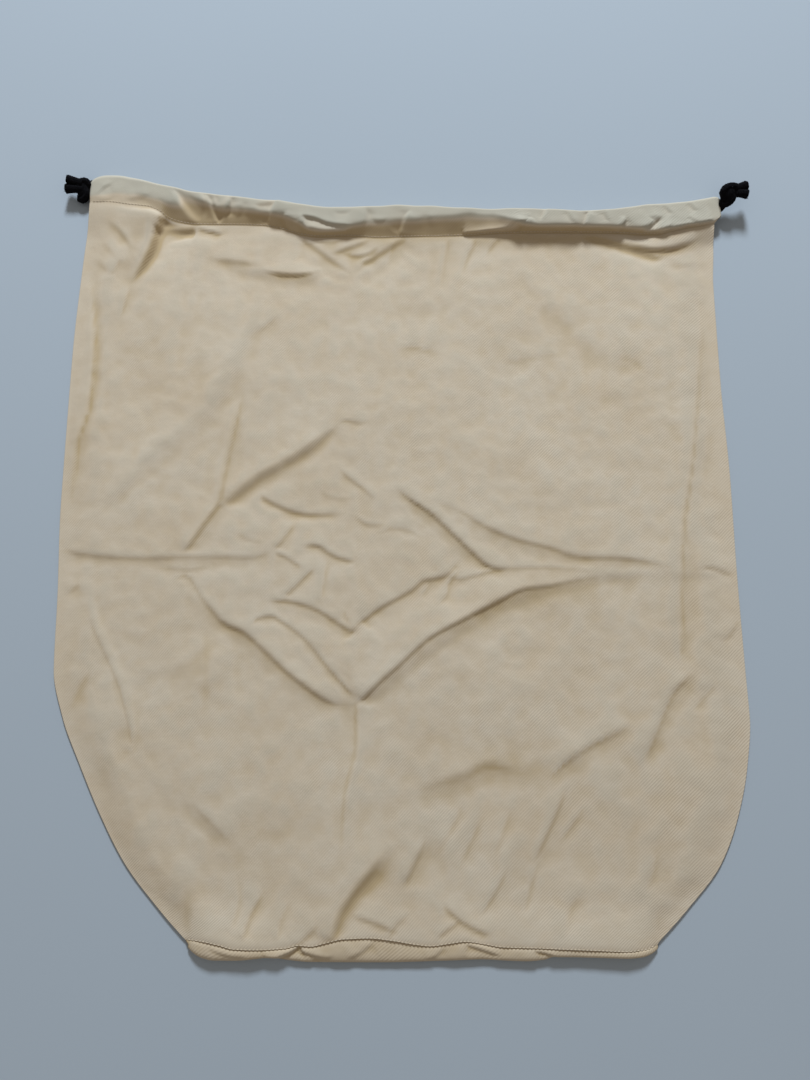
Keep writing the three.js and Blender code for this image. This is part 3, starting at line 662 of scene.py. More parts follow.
form = {
    # height above the lower panel, how full the body is between its seams, and the lengths of
    # its two crossing waves
    "rest": 1.1, "puff": 2.3, "puffReach": 26, "rimReach": 8,
    "waveHeight": 0.5, "waves": ((31, 57), (-90, 43)),
    # size, seed and height of the uneven cloth, and how much of a hollow is left
    "uneven": [(62, 3.1, 0.5), (21, 8.4, 0.5), (8.5, 5.7, 0.3)], "hollowShare": 0.15,
    # how the body meets the base seam and the stitches
    "seamReach": 30, "seamShare": 0.8, "seamStart": 0.6, "seamDip": 0.3, "seamDipWidth": 1.2,
    "stitchReach": 5.0, "stitchGap": 1.2,
    # shape of every fold: how far it is felt, and the width of its face at its ends
    "foldReach": 3.2, "endFace": 0.35,
    # in the body, small folds are higher and steeper than their rows say
    "smallFold": 1.3, "smallScale": 1.5, "smallFace": 0.75,
    # painted shade on the faces of folds, and how the painted shade of a deep fold spreads and
    # starts
    "paintedFaceShade": 0.5, "depthReach": 3, "depthStart": 0.3,
    # the depth at which a hollow takes its full painted shade, the cells around a point that
    # its depth is taken from, and how far from the side seams this painted shade begins
    "hollowDepth": 0.9, "hollowBlur": 4, "hollowLimits": (-0.2, 1), "tintReach": 22,
    # the inner face has every third point, and its weave is shifted
    "coarse": 3, "innerShift": (0.7, 0.4, 0),
    # cells over a share of the length and of the width, finer near the edges
    "rows": [(0, 0.0014, 2), (0.0014, 0.06, 16), (0.06, 0.295, 40), (0.295, 0.774, 148),
             (0.774, 0.88, 20), (0.88, 1, 36)],
    "columns": [(-1, -0.997, 2), (-0.997, -0.9, 10), (-0.9, -0.72, 30), (-0.72, 0.494, 172),
                (0.494, 0.997, 45), (0.997, 1, 2)],
}


def paintFoldShade(x, y):
    tint, start = np.zeros_like(x), form["depthStart"]
    for points, strength, width, fadeIn, fadeOut in foldShadeLines:
        near, d, t = beside(points, form["depthReach"] * width, x, y)
        tint[near] += strength * np.exp(-(d / width) ** 2) * ease(t / fadeIn + start) \
            * ease((1 - t) / fadeOut + start)
    return tint


def addCrease(height, x, y, crease, tint=None):  # a tint is given for the body's folds only
    points, crest, foot, face, above, below, fadeIn, fadeOut = crease
    if tint is not None and crest + foot < form["smallFold"]:
        crest, foot = crest * form["smallScale"], foot * form["smallScale"]
        face = face * form["smallFace"]
    near, d, t = beside(points, form["foldReach"] * max(above, below) + face, x, y)
    fade = fadeEnds(t, fadeIn, fadeOut)
    width = face * (form["endFace"] + (1 - form["endFace"]) * fade)
    # painted shade along the face of each body fold
    if tint is not None:
        aside = (d + width / 2) / (face / 2)
        tint[near] += form["paintedFaceShade"] * fade * np.exp(-aside ** 2) * min(1, crest + foot)
    rise = crest * settle(np.maximum(d, 0) / above)
    fall = -foot * settle(np.maximum(-d - width, 0) / below)
    slope = crest - (crest + foot) * ease(-d / width)
    shape = np.where(d >= 0, rise, np.where(d < -width, fall, slope))
    height[near] += shape * fade


def cloud(x, y, size, seed):  # smooth unevenness between -1 and 1
    return np.array([noise.noise(Vector((a / size, b / size, seed)))
                     for a, b in zip(x.ravel(), y.ravel())]).reshape(x.shape)


def clouds(x, y, layers):  # the sum of layers of size, seed and height
    return sum(cloud(x, y, size, seed) * height for size, seed, height in layers)


def frontHeight(x, y):
    inside = toSeam(x, y)
    fromSeam, toStitch = y - seamAt(x), stitchAt(x) - y
    nearSeam = 1 - ease(fromSeam / form["seamReach"])
    nearStitch = 1 - ease(toStitch / reachAt(x))
    first, second = [np.sin(x / a + y / b) for a, b in form["waves"]]
    loose = ease(inside / form["puffReach"]) \
        * (form["puff"] + form["waveHeight"] * first * second)
    folded, broad, tint = (np.zeros_like(x) for _ in range(3))
    for crease in creases:
        addCrease(folded, x, y, crease, tint)
    for crease in swells:
        addCrease(broad, x, y, crease)
    fromRim = ease(inside / form["rimReach"])
    lifted = loose + fromRim * (broad + clouds(x, y, form["uneven"]))
    lifted = lifted * (1 - nearStitch) + (lipAt(x) - form["rest"]) * nearStitch
    lifted = lifted * (1 - form["seamShare"] * nearSeam) \
        + (stripTopAt(x) - form["rest"]) * nearSeam
    lifted += folded * fromRim * ease(toStitch / form["stitchReach"]) \
        * ease((fromSeam + form["seamStart"]) / form["stitchReach"])
    height = form["rest"] + np.maximum(lifted, form["hollowShare"] * lifted)
    height -= form["seamDip"] * np.exp(-(fromSeam / form["seamDipWidth"]) ** 2)
    return height, tint + paintFoldShade(x, y)


casing = {
    # height of the roll, and the share of the casing at which it turns down to the stitches
    "crest": [(-241, 5.5), (-226, 6.2), (-212, 7.2), (-200, 8.2), (-186, 9.2), (-172, 10.0),
              (-150, 10.3), (-110, 10.0), (-95, 10.6), (-60, 10.5), (-20, 11.1), (10, 11.6),
              (40, 11.8), (62, 11.4), (74, 11.6), (90, 12.2), (110, 12.5), (140, 12.5),
              (160, 11.6), (176, 10.4), (190, 9.0), (210, 8.4), (232, 8.2), (240, 7.8)],
    "brow": [(-241, .80), (-220, .62), (-205, .56), (-190, .58), (-180, .56), (-172, .50),
             (-163, .14), (-156, .16), (-148, .32), (-138, .46), (-112, .50), (-99, .54),
             (-90, .58), (-80, .64), (-72, .86), (-62, .90), (-48, .90), (-38, .70),
             (-26, .56), (-5, .52), (12, .48), (25, .42), (37, .36), (52, .32), (63, .34),
             (72, .48), (82, .68), (92, .84), (100, .89), (140, .90), (160, .90),
             (172, .92), (185, .95), (198, .97), (237, .975)],
    # how far that turn leans to the right on its way down
    "lean": [(-204, 0), (-188, 24), (-148, 24), (-132, 0)],
    # depth and height of the turned-in layer
    "inner": [(0.5, 4.0), (2.2, 2.3), (5, 1.9), (9.2, 1.9), (10.4, 2.7), (11.6, 3.8),
              (13.8, 4.3), (16, 3.8), (17.2, 2.7), (18.4, 1.9), (20.4, 1.9)],
    # the folded edge, the rounded upper corners, and how the roll turns down
    "edgeHeight": 4.8, "edgeDepth": 3.2, "edgePower": 2.2, "edgeReach": 0.16,
    "corners": (-240.5, 237.5), "cornerRound": 14.0, "endRound": 5.0, "roundShare": 0.8,
    "roundDepth": 15, "browSoft": 0.055, "browSoftMost": 0.8, "browMost": 0.975,
    "facePower": 1.15, "puckerSoft": 1.35,
    # size, seed and height of its uneven edge, crest, turn and surface
    "edgeWave": [(15, 9.1, 0.5)], "crestWave": [(19, 6.6, 0.9)], "browWave": [(11, 2.7, 0.04)],
    "uneven": [(17, 2.2, 0.45), (6.5, 4.2, 0.18)],
    # the shares of its depth over which these fade at the folded edge and at the stitches
    "waveFade": 0.5, "puckerFade": (0.16, 0.10), "unevenFade": (0.2, 0.2),
    "layerFade": (0.10, 0.06),
    # painted shade on the turned-down face, the roll height at which it is full and how soon
    # it starts, painted cool light on the top, and painted light and shade on the puckers
    "shadeTint": 0.95, "fullTint": 4.5, "shadeStart": 2.2, "paintedLightShare": 0.9,
    "paintedPuckerShading": 0.25,
    # rows from the stitches to a share of the depth, then those at the folded edge
    "rows": 28, "rowsTo": 0.13,
    "edgeRows": [.105, .082, .062, .045, .031, .019, .009, .003, 0], "columns": 440,
    # the turned-in layer, and how far the roll stays above it
    "innerColumns": 150, "innerStep": 1.5, "innerTaper": (6, 14),
    "layerGap": 0.85, "layerSoft": 0.2,
}

# Puckers of the casing, given as the creases are.
puckers = [
    # the ridge at the left that runs down to the stitches, with a hollow beside it
    ([(-155, 238), (-161, 243), (-166, 249), (-171, 256), (-178, 265)], .5, .5, 4.5, 5, 6,
     .1, .3),
    # pleats beside the hollow
    ([(-141, 239), (-145, 246), (-148, 254), (-151, 262)], .6, 1.5, 2.2, 5, 4, .15, .3),
    ([(-150, 250), (-152, 256), (-155, 262)], .4, .5, 2, 3.5, 3, .35, .3),
    ([(-142, 250), (-144, 256), (-146, 262)], .5, .6, 2, 3, 3, .35, .3),
    ([(-136, 244), (-133, 252), (-131, 260)], 1.0, 1.2, 2.0, 4, 3.5, .3, .35),
    ([(-127, 243), (-124, 250), (-123, 256)], .35, .4, 2.4, 4, 4, .35, .35),
    ([(-114, 253), (-105, 254), (-96, 255)], .1, .6, 2.4, 4, 3.4, .3, .3),
    ([(-122, 247), (-108, 246), (-98, 248)], .25, .35, 2.8, 4, 4, .35, .35),
    # the upright ridge, then the hook and the long groove
    ([(-94, 257), (-98, 248), (-102, 238)], .9, .8, 2.6, 7, 6, .2, .12),
    ([(-87, 246), (-89, 241), (-86, 235.5), (-78, 231.5)], .7, .7, 2.2, 4, 4, .25, .2),
    ([(-81, 244), (-78, 240), (-79, 236)], .3, .4, 2, 3, 3, .35, .3),
    ([(-78, 243), (-67, 241), (-58, 237.5), (-49, 235.5), (-38, 234)], .5, 1.5, 1.6, 5, 9,
     .15, .2),
    ([(-74, 235), (-63, 232.5), (-50, 232)], .5, .3, 1.8, 2.6, 3, .25, .3),
    ([(-54, 247), (-47, 246.4), (-40, 247)], .15, .4, 2.4, 4, 3, .35, .35),
    ([(-32, 234), (-31, 241), (-30, 249)], .3, .7, 2.8, 5, 4, .35, .35),
    ([(-26, 241), (-19, 239.5), (-12, 241)], .3, .6, 2.2, 4, 3, .35, .35),
    ([(5, 247), (1, 238), (-4, 229)], .7, .8, 2.4, 6, 5, .3, .12),
    ([(17, 246), (20, 240), (22, 234)], .25, .35, 3, 5, 5, .35, .35),
    # the bright fold right of the middle and the teeth beside it
    ([(43, 227), (52, 228.5), (63, 231), (74, 233), (84, 235), (91, 239), (94, 243)],
     3.4, .6, 2.2, 4.2, 4, .06, .25),
    ([(94, 240), (90, 235), (85, 230)], 1.2, .6, 1.8, 4, 4, .2, .2),
    ([(107, 248), (104, 242), (101, 236)], .3, .7, 1.2, 2.5, 2.2, .2, .3),
    ([(138, 245), (135.5, 238), (133, 228)], .7, .9, 1.3, 3.2, 3, .2, .15),
    ([(122, 246), (124, 240), (127, 235)], .3, .4, 2, 3, 3, .3, .3),
    ([(155, 227), (160, 233), (165, 241)], 1.3, .9, 1.8, 2.4, 4, .15, .25),
    ([(148, 247), (151, 241), (153, 236)], .3, .5, 2, 3, 3, .3, .3),
    # towards the right end
    ([(166, 230), (175, 232.5), (181, 235), (187, 239.5), (193, 243)], .7, 1.6, 2.2, 4, 3.2,
     .2, .35),
    ([(181, 241.5), (187, 243), (194, 241.5)], .2, 1.0, 3.2, 4, 3, .3, .3),
    ([(176, 226), (184, 229), (193, 232), (201, 238)], .9, .5, 2.2, 3.2, 3.6, .2, .3),
    ([(188, 227.5), (197, 231), (209, 234.5), (220, 237.5), (232, 240.5)], 1.3, 1.4, 2.2, 6, 3,
     .12, .10),
    ([(195, 252), (198, 248), (201, 244)], .3, .6, 1.4, 2.5, 2.5, .3, .3),
    ([(214, 254), (217, 250), (220, 247)], .3, .6, 1.4, 2.5, 2.5, .3, .3),
    ([(212, 243), (215, 240.5), (219, 238)], .3, .5, 1.4, 2.5, 2.5, .3, .3),
    # the flat left end
    ([(-233, 262), (-229, 269), (-222, 273)], .3, .5, 2, 4, 4, .3, .3),
    ([(-236, 254), (-229, 259), (-221, 261)], .2, .4, 3, 5, 5, .3, .3),
    ([(-212, 259), (-200, 261), (-190, 263)], .3, .3, 3, 5, 5, .3, .3),
]

crestAt, browAt, leanAt = [smoothTable(casing[name]) for name in ("crest", "brow", "lean")]
innerDepth, innerHeight = np.array(casing["inner"]).T


def resample(table, step):  # even stations along a smooth line through the table
    points = smoothLine(table, step=0.2)
    walked = lengthAlong(points)
    count = int(round(walked[-1] / step))
    return pointsAt(np.linspace(0, walked[-1], count + 1), walked, points)


def softMost(first, second, soft):  # the larger of two, rounded where they cross
    return (first + second + np.sqrt((first - second) ** 2 + soft ** 2)) / 2


def cornerDrop(x, depth):  # rounds the two upper corners of the casing
    left, right = casing["corners"]
    drop = 0
    for inside, radius in ((x - left, casing["cornerRound"]), (right - x, casing["endRound"])):
        inside = np.clip(inside, 0, radius)
        drop = drop + radius - np.sqrt(np.maximum(0, radius ** 2 - (radius - inside) ** 2))
    return drop * casing["roundShare"] * (1 - ease(depth / casing["roundDepth"]))


def frontRows(columns):
    low = seamAt(baseX(columns))
    high = stitchAt(mouthX(columns)) - form["stitchGap"]
    y = low + (high - low) * ladder(form["rows"])[:, None]
    x = across(columns[None, :], y)
    height, tint = frontHeight(x, y)
    return np.stack([x, y, height], 2), tint


def casingOuter(columns):  # from the stitches over the roll to the folded edge
    share = np.concatenate([np.linspace(1, casing["rowsTo"], casing["rows"]),
                            casing["edgeRows"]])[:, None]
    x = mouthX(columns) + overhangX(columns) * ease((1 - share) / casing["edgeReach"])
    edgeWave, crestWave, browWave = [
        clouds(x, x * 0, casing[name]) for name in ("edgeWave", "crestWave", "browWave")]
    depth = (mouthAt(x) - stitchAt(x)) * share
    y = mouthAt(x) - depth - cornerDrop(x, depth) \
        + edgeWave * ease((1 - share) / casing["waveFade"])
    crest = crestAt(x) + crestWave
    brow = np.minimum(browAt(x - leanAt(x) * (share - 0.5)) + browWave, casing["browMost"])
    shoulder = (crest - casing["edgeHeight"]) \
        * (1 - np.clip(depth / casing["edgeDepth"], 0, 1)) ** casing["edgePower"]
    soft = np.minimum(casing["browSoft"], (1 - brow) * casing["browSoftMost"])
    down = np.clip(softMost(share - brow, 0, soft) / (1 - brow), 0, 1)
    z = lipAt(x) + (crest - shoulder - lipAt(x)) * (1 - down) ** casing["facePower"]
    pucker = np.zeros_like(x)
    for line, rise, foot, face, *rest in puckers:
        addCrease(pucker, x, y, (line, rise, foot, face * casing["puckerSoft"], *rest))
    pucker *= fadeEnds(share, *casing["puckerFade"])
    z = z + pucker + clouds(x, y, casing["uneven"]) * fadeEnds(share, *casing["unevenFade"])
    # the roll stays above the turned-in layer
    least = np.interp(depth, innerDepth, innerHeight) + casing["layerGap"]
    z = softMost(z, least * fadeEnds(share, *casing["layerFade"]), casing["layerSoft"])
    # painted shade on the turned-down face, painted cool light on the roll's top, and puckers
    # paler where they stand up and browner where they sink
    shade = ease(down * casing["shadeStart"])
    turnShade = casing["shadeTint"] * np.clip((crest - lipAt(x)) / casing["fullTint"], 0, 1)
    tint = shade * turnShade - (1 - shade) * casing["paintedLightShare"] - pucker * casing["paintedPuckerShading"]
    return np.stack([x, y, z], 2), tint + paintFoldShade(x, y)


def turnedRows(table, step, columns, overhang=0):  # rows of a turned-in casing layer
    start, length = casing["innerTaper"]
    rows = []
    for depth, z in resample(table, step):
        x = mouthX(columns) + overhang * (1 - ease((depth - start) / length))
        y = mouthAt(x) - depth - cornerDrop(x, depth)
        rows.append(np.stack([x, y, np.full_like(x, z)], 1))
    return np.array(rows)


def gridNormals(grid):
    normal = np.cross(np.gradient(grid, axis=1), np.gradient(grid, axis=0))
    return normal / np.linalg.norm(normal, axis=2, keepdims=True)


def blur(values, reach):  # a running mean over both directions of a grid
    for axis in (0, 1):
        pad = [(reach, reach) if a == axis else (0, 0) for a in (0, 1)]
        sums = np.cumsum(np.pad(values, pad, mode="edge"), axis=axis)
        first = np.take(sums, range(0, values.shape[axis]), axis=axis)
        last = np.take(sums, range(2 * reach, 2 * reach + values.shape[axis]), axis=axis)
        values = (last - first) / (2 * reach)
    return values


def coarsePicks(count, step):
    return sorted({*range(0, count, step), count - 1})


def insideFace(low, rows, columns):
    # the coarse inner points, lowered where the cloth between them would show through
    coarse = low[np.ix_(rows, columns)].copy()
    lines = np.array([np.interp(np.arange(low.shape[1]), columns, line)
                      for line in coarse[..., 2]])
    span = np.array([np.interp(np.arange(low.shape[0]), rows, line) for line in lines.T]).T
    excess = np.maximum(0, span - low[..., 2])
    for i in range(len(rows)):
        upper, lower = rows[max(i - 1, 0)], rows[min(i + 1, len(rows) - 1)] + 1
        for j in range(len(columns)):
            left, right = columns[max(j - 1, 0)], columns[min(j + 1, len(columns) - 1)] + 1
            coarse[i, j, 2] -= excess[upper:lower, left:right].max()
    coarse[..., 2] = np.maximum(coarse[..., 2], 0)
    return coarse


def quads(index):
    return np.stack([index[:-1, :-1], index[:-1, 1:], index[1:, 1:], index[1:, :-1]],
                    2).reshape(-1, 4).tolist()


def rimFaces(edge, under, picks):  # joins a fine edge to the coarse one below it
    return [[under[i], *edge[picks[i]:picks[i + 1] + 1], under[i + 1]]
            for i in range(len(picks) - 1)]


def zipped(first, second, firstAt, secondAt):  # triangles between two rows of points
    faces, i, j = [], 0, 0
    while i < len(first) - 1 or j < len(second) - 1:
        stepFirst = j == len(second) - 1 or (
            i < len(first) - 1 and firstAt[i + 1] <= secondAt[j + 1])
        if stepFirst:
            faces.append([first[i], first[i + 1], second[j]])
            i += 1
        else:
            faces.append([first[i], second[j + 1], second[j]])
            j += 1
    return faces


def sheetMesh(name, grids, material, step=1, tints=None):
    # a closed sheet from grids that follow each other, with a coarser inner face
    thickness = outline["thickness"]
    points, faces, flats, shades = [], [], [], []
    start, before, walked = 0, None, 0.0
    for number, grid in enumerate(grids):
        rows, columns = grid.shape[:2]
        keepRows, keepColumns = coarsePicks(rows, step), coarsePicks(columns, step)
        normal = gridNormals(grid)
        low = insideFace(grid - normal * thickness / 2, keepRows, keepColumns)
        top = start + np.arange(rows * columns).reshape(rows, columns)
        under = top[-1, -1] + 1 + np.arange(low.size // 3).reshape(low.shape[:2])
        start = under[-1, -1] + 1
        faces += quads(top) + quads(under)
        for side in (0, -1):
            faces += rimFaces(top[:, side].tolist(), under[:, side].tolist(), keepRows)
        at, atUnder = grid[:, :, 0], grid[:, :, 0][:, keepColumns]
        if before is None:
            faces += rimFaces(top[0].tolist(), under[0].tolist(), keepColumns)
        else:
            lastTop, lastUnder, lastAt, lastAtUnder = before
            faces += zipped(lastTop, top[0], lastAt, at[0])
            faces += zipped(lastUnder, under[0], lastAtUnder, atUnder[0])
            for side in (0, -1):
                faces.append([lastUnder[side], lastTop[side], top[0, side], under[0, side]])
        if number == len(grids) - 1:
            faces += rimFaces(top[-1].tolist(), under[-1].tolist(), keepColumns)
        along = np.zeros((rows, columns))
        along[1:] = np.cumsum(np.linalg.norm(np.diff(grid, axis=0), axis=2), axis=0)
        along += grid[0, :, 1] if before is None else (
            np.interp(at[0], lastAt, walked) + form["stitchGap"])
        walked = along[-1]
        before = top[-1], under[-1], at[-1], atUnder[-1]
        flat = np.stack([at, along, np.zeros_like(along)], 2)
        tint = np.zeros((rows, columns)) if tints is None else tints[number]
        keep = np.ix_(keepRows, keepColumns)
        points += [(grid + normal * thickness / 2).reshape(-1, 3), low.reshape(-1, 3)]
        flats += [flat.reshape(-1, 3), flat[keep].reshape(-1, 3) + form["innerShift"]]
        shades += [tint.ravel(), tint[keep].ravel()]
    made = meshObject(name, toFrame(np.vstack(points)),
                      [[int(i) for i in face] for face in faces], material)
    shape = bmesh.new()
    shape.from_mesh(made.data)
    bmesh.ops.recalc_face_normals(shape, faces=shape.faces)
    shape.to_mesh(made.data)
    shape.free()
    cloth = made.data.attributes.new("cloth", "FLOAT_VECTOR", "POINT")
    cloth.data.foreach_set("vector", np.vstack(flats).astype(np.float32).ravel())
    # painted shading of each point: painted shade above zero, painted cool light below zero
    paintedShading = made.data.attributes.new("paintedShading", "FLOAT", "POINT")
    paintedShading.data.foreach_set("value", np.concatenate(shades).astype(np.float32))
    return made


# painted shade, stronger the deeper a point lies below the cloth around it
def paintedShade(grid):  # how far a point lies below the cloth around it
    z = grid[..., 2]
    below = (blur(z, form["hollowBlur"]) - z) / form["hollowDepth"]
    return np.clip(below, *form["hollowLimits"])


body, bodyTint = frontRows(ladder(form["columns"]))
roll, rollTint = casingOuter(np.linspace(-1, 1, casing["columns"]))
innerColumns = np.linspace(-1, 1, casing["innerColumns"])
turnedIn = turnedRows(casing["inner"], casing["innerStep"], innerColumns,
                      overhangX(innerColumns))
# painted shade in the body's hollows, fading out towards the side seams
bodyTint += paintedShade(body) * ease(toSeam(body[..., 0], body[..., 1]) / form["tintReach"])
frontPanel = sheetMesh("frontPanel", [body, roll, turnedIn], twill, step=form["coarse"],
                       tints=[bodyTint, rollTint, np.zeros(turnedIn.shape[:2])])
print("front panel", len(frontPanel.data.polygons), "faces")

backFacts = {
    # depth and height of the lower layer's casing
    "casing": [(20.5, .3), (12, .3), (2.2, .3), (1.35, .48), (1.15, .7), (1.35, .92),
               (2.2, 1.1), (9.4, 1.1), (10.6, 1.9), (11.8, 3.0), (13.8, 3.5), (15.8, 3.0),
               (17, 1.9), (18.2, 1.1), (20.4, 1.1)],
    "rows": 124, "columns": 120, "casingStep": 1.5, "casingWidth": 22.2,
    # size, seed and height of its ripples, how much of them stays flat, and where they fade
    "uneven": [(33, 6.2, 0.8), (12, 1.9, 0.5)], "flatPart": 0.12, "rise": 0.55,
    "sideFade": 20, "endFade": 0.1,
}


def backGrid(columns):
    share = np.linspace(0, 1, backFacts["rows"])[:, None]
    high = mouthAt(mouthX(columns)) - backFacts["casingWidth"]
    y = outline["backLow"] + (high - outline["backLow"]) * share
    x = across(columns[None, :], y)
    ripple = np.maximum(0, clouds(x, y, backFacts["uneven"]) - backFacts["flatPart"])
    z = outline["thickness"] / 2 + backFacts["rise"] * ripple \
        * ease(toSeam(x, y) / backFacts["sideFade"]) \
        * fadeEnds(share, backFacts["endFade"], backFacts["endFade"])
    turned = turnedRows(backFacts["casing"], backFacts["casingStep"], columns)
    return np.concatenate([np.stack([x, y, z], 2), turned])


backPanel = sheetMesh("backPanel", [backGrid(np.linspace(-1, 1, backFacts["columns"]))], twill)
print("back panel", len(backPanel.data.polygons), "faces")

stripFacts = {
    # across a strip 10 wide and 5 high: distance below the seam, and height
    "section": [(-1.4, 3.7), (-.2, 4.0), (.5, 4.4), (2, 4.85), (4.2, 5), (7, 4.85), (8.9, 4.2),
                (9.75, 3.2), (10, 2.2), (9.75, 1.1), (8.9, .35), (7, .02), (4, 0), (-2.5, 0)],
    "deep": 10, "high": 5, "step": 0.8, "columns": 300, "tint": 0.5,
    # the part turned under lies below a level, and runs from a distance to the lower panel
    "underLevel": 0.1, "underStart": 7, "underGap": 0.4,
    # the part that has creases lies above a level and below the seam
    "topLevel": 2, "topStart": -0.2, "topSoft": 1.5,
    "uneven": [(24, 4.4, 0.5), (7, 7.7, 0.25)],
}
stripCreases = [
    ([(-88, -275), (-80, -271.5), (-73, -268.5), (-67, -264.5)], .9, 1.6, 2.4, 5, 4.5, .1, .1),
    ([(-67, -267.5), (-60, -270), (-50, -272)], .4, .8, 2, 3, 3, .2, .3),
    ([(-62, -273), (-52, -272.6), (-44, -271)], .3, .5, 1.8, 3, 3, .3, .3),
    ([(-38, -273.5), (-28, -268.5), (-20, -262.5)], .4, .6, 2.4, 5, 5, .25, .2),
    ([(38, -263.5), (51, -267.5), (62, -271.5)], .5, .8, 2.6, 5, 5, .15, .3),
    ([(82, -268.4), (90, -269.6), (97, -272)], .3, .8, 1.6, 3, 3, .2, .2),
    ([(12, -274), (20, -270), (25, -265)], .3, .5, 2.4, 5, 5, .3, .3),
    ([(-126, -265.5), (-112, -270), (-98, -271)], .3, .5, 2.4, 4, 4, .3, .3),
]


def stripGrid(columns, facts):
    rows, low = [], outline["thickness"] / 2
    seam = seamAt(baseX(columns))
    width = seam - bottomAt(baseX(columns))
    underLow = seam - facts["underStart"] / facts["deep"] * width
    underHigh = outline["backLow"] - facts["underGap"]
    underLength = facts["underStart"] - facts["section"][-1][0]
    for distance, level in resample(facts["section"], facts["step"]):
        y = seam - (distance * width / facts["deep"] if distance > 0 else distance)
        if level < facts["underLevel"]:
            share = min(1, (facts["underStart"] - distance) / underLength)
            y = underLow + (underHigh - underLow) * share
        x = across(columns, y)
        fold = np.zeros_like(x)
        for crease in stripCreases:
            addCrease(fold, x, y, crease)
        upper = ease((level - facts["topLevel"]) / facts["topSoft"]) \
            * ease((distance - facts["topStart"]) / facts["topSoft"])
        z = low + (stripTopAt(x) - low) * level / facts["high"] \
            + upper * (fold + clouds(x, y, facts["uneven"]))
        rows.append(np.stack([x, y, np.maximum(z, low)], 1))
    return np.array(rows)


strip = stripGrid(np.linspace(-1, 1, stripFacts["columns"]), stripFacts)
# the strip's tint is painted shade in its hollows, and the whole strip is made darker and
# browner with the same painted shade colour
baseStrip = sheetMesh("baseStrip", [strip], stripTwill,
                      tints=[paintedShade(strip) + stripFacts["tint"]])
print("base strip", len(baseStrip.data.polygons), "faces")

stitchFacts = {"length": 1.7, "pitch": 2.5, "radius": 0.26, "sides": 6, "stations": 5,
               "rise": 0.42, "sunk": 0.16, "endRadius": 0.55, "row": 1}


def tube(line, radius, sides, closed=False, shape=None, squeeze=1.0):
    # points and faces of a cord along a line, capped at both ends
    line = np.asarray(line, float)
    run = np.gradient(line, axis=0) if not closed else (
        np.roll(line, -1, 0) - np.roll(line, 1, 0))
    run /= np.linalg.norm(run, axis=1, keepdims=True)
    side = np.cross(run[0], (0.12, 0.2, 1.0))
    points = []
    for i, (place, ahead) in enumerate(zip(line, run)):
        side = side - ahead * (side @ ahead)
        side /= np.linalg.norm(side)
        other = np.cross(ahead, side)
        for k in range(sides):
            angle = 2 * math.pi * k / sides
            r = radius[i] if hasattr(radius, "__len__") else radius
            r = r * (shape(i, k) if shape else 1)
            spoke = r * (math.cos(angle) * side + math.sin(angle) * other)
            points.append(place + spoke * (1, 1, squeeze))
    count = len(line)
    faces = []
    for i in range(count if closed else count - 1):
        j = (i + 1) % count
        for k in range(sides):
            n = (k + 1) % sides
            faces.append([i * sides + k, i * sides + n, j * sides + n, j * sides + k])
    if not closed:
        faces.append(list(range(sides))[::-1])
        faces.append([(count - 1) * sides + k for k in range(sides)])
    return points, faces


def joined(parts):
    points, faces = [], []
    for partPoints, partFaces in parts:
        start = len(points)
        points.extend(partPoints)
        faces.extend([[i + start for i in face] for face in partFaces])
    return points, faces


def sewnRow(name, grid, facts):  # stitches along a row of a grid's points
    normals = gridNormals(grid)[facts["row"]]
    line = grid[facts["row"]] + normals * outline["thickness"] / 2
    walked = lengthAlong(line)
    lift = np.sin(np.linspace(0, math.pi, facts["stations"]))[:, None]
    radius = facts["radius"] * (facts["endRadius"] + (1 - facts["endRadius"]) * lift[:, 0])
    parts = []
    at = facts["pitch"]
    while at + facts["length"] < walked[-1] - facts["pitch"]:
        t = np.linspace(at, at + facts["length"], facts["stations"])
        out = pointsAt(t, walked, normals) * (lift * facts["rise"] - facts["sunk"])
        parts.append(tube(pointsAt(t, walked, line) + out, radius, facts["sides"]))
        at += facts["pitch"]
    points, faces = joined(parts)
    return meshObject(name, toFrame(points), faces, thread)


casingStitches = sewnRow("casingStitches", roll, stitchFacts)
baseStitches = sewnRow("baseStitches", body, stitchFacts)
print("stitches sewn")

cordShape = {"diameter": 4.6, "sides": 20, "step": 0.6, "braid": 0.12, "plait": 3.0}
# Inside a casing each cord is plainer: x of its ends, depth below the mouth edge, height of
# its middle, and how flat it is pressed.
hiddenCord = dict(cordShape, step=1.3, sides=14, diameter=4.4, stations=240)
hiddenCords = {"cordFront": {"ends": (-239.2, 236.6), "depth": 6.0, "z": 3.9, "squeeze": 0.72},
               "cordBack": {"ends": (-239.2, 226.0), "depth": 13.8, "z": 1.9, "squeeze": 0.52}}


def braided(step, facts):  # plaited strands stand a little proud of the cord
    def shape(i, k):
        turn = 2 * math.pi * k / facts["sides"]
        along = 2 * math.pi * i * step / facts["plait"]
        return 1 + facts["braid"] * (math.sin(3 * turn + along) * math.sin(3 * turn - along))
    return shape


def cordAlong(points, facts, closed=False, radius=None, squeeze=1.0):
    line = np.asarray(points, float)
    if closed:
        line = np.vstack([line, line[:1]])
    walked = lengthAlong(line)
    count = max(4, int(walked[-1] / facts["step"]))
    dense = pointsAt(np.linspace(0, walked[-1], count, endpoint=not closed), walked, line)
    return tube(dense, radius or facts["diameter"] / 2, facts["sides"], closed,
                braided(facts["step"], facts), squeeze)


def casingCord(name, facts):
    x = np.linspace(*facts["ends"], hiddenCord["stations"])
    line = np.stack([x, mouthAt(x) - facts["depth"], np.full_like(x, facts["z"])], 1)
    points, faces = cordAlong(line, hiddenCord, squeeze=facts["squeeze"])
    return meshObject(name, toFrame(points), faces, blackCotton)


cordFront, cordBack = [casingCord(name, facts) for name, facts in hiddenCords.items()]

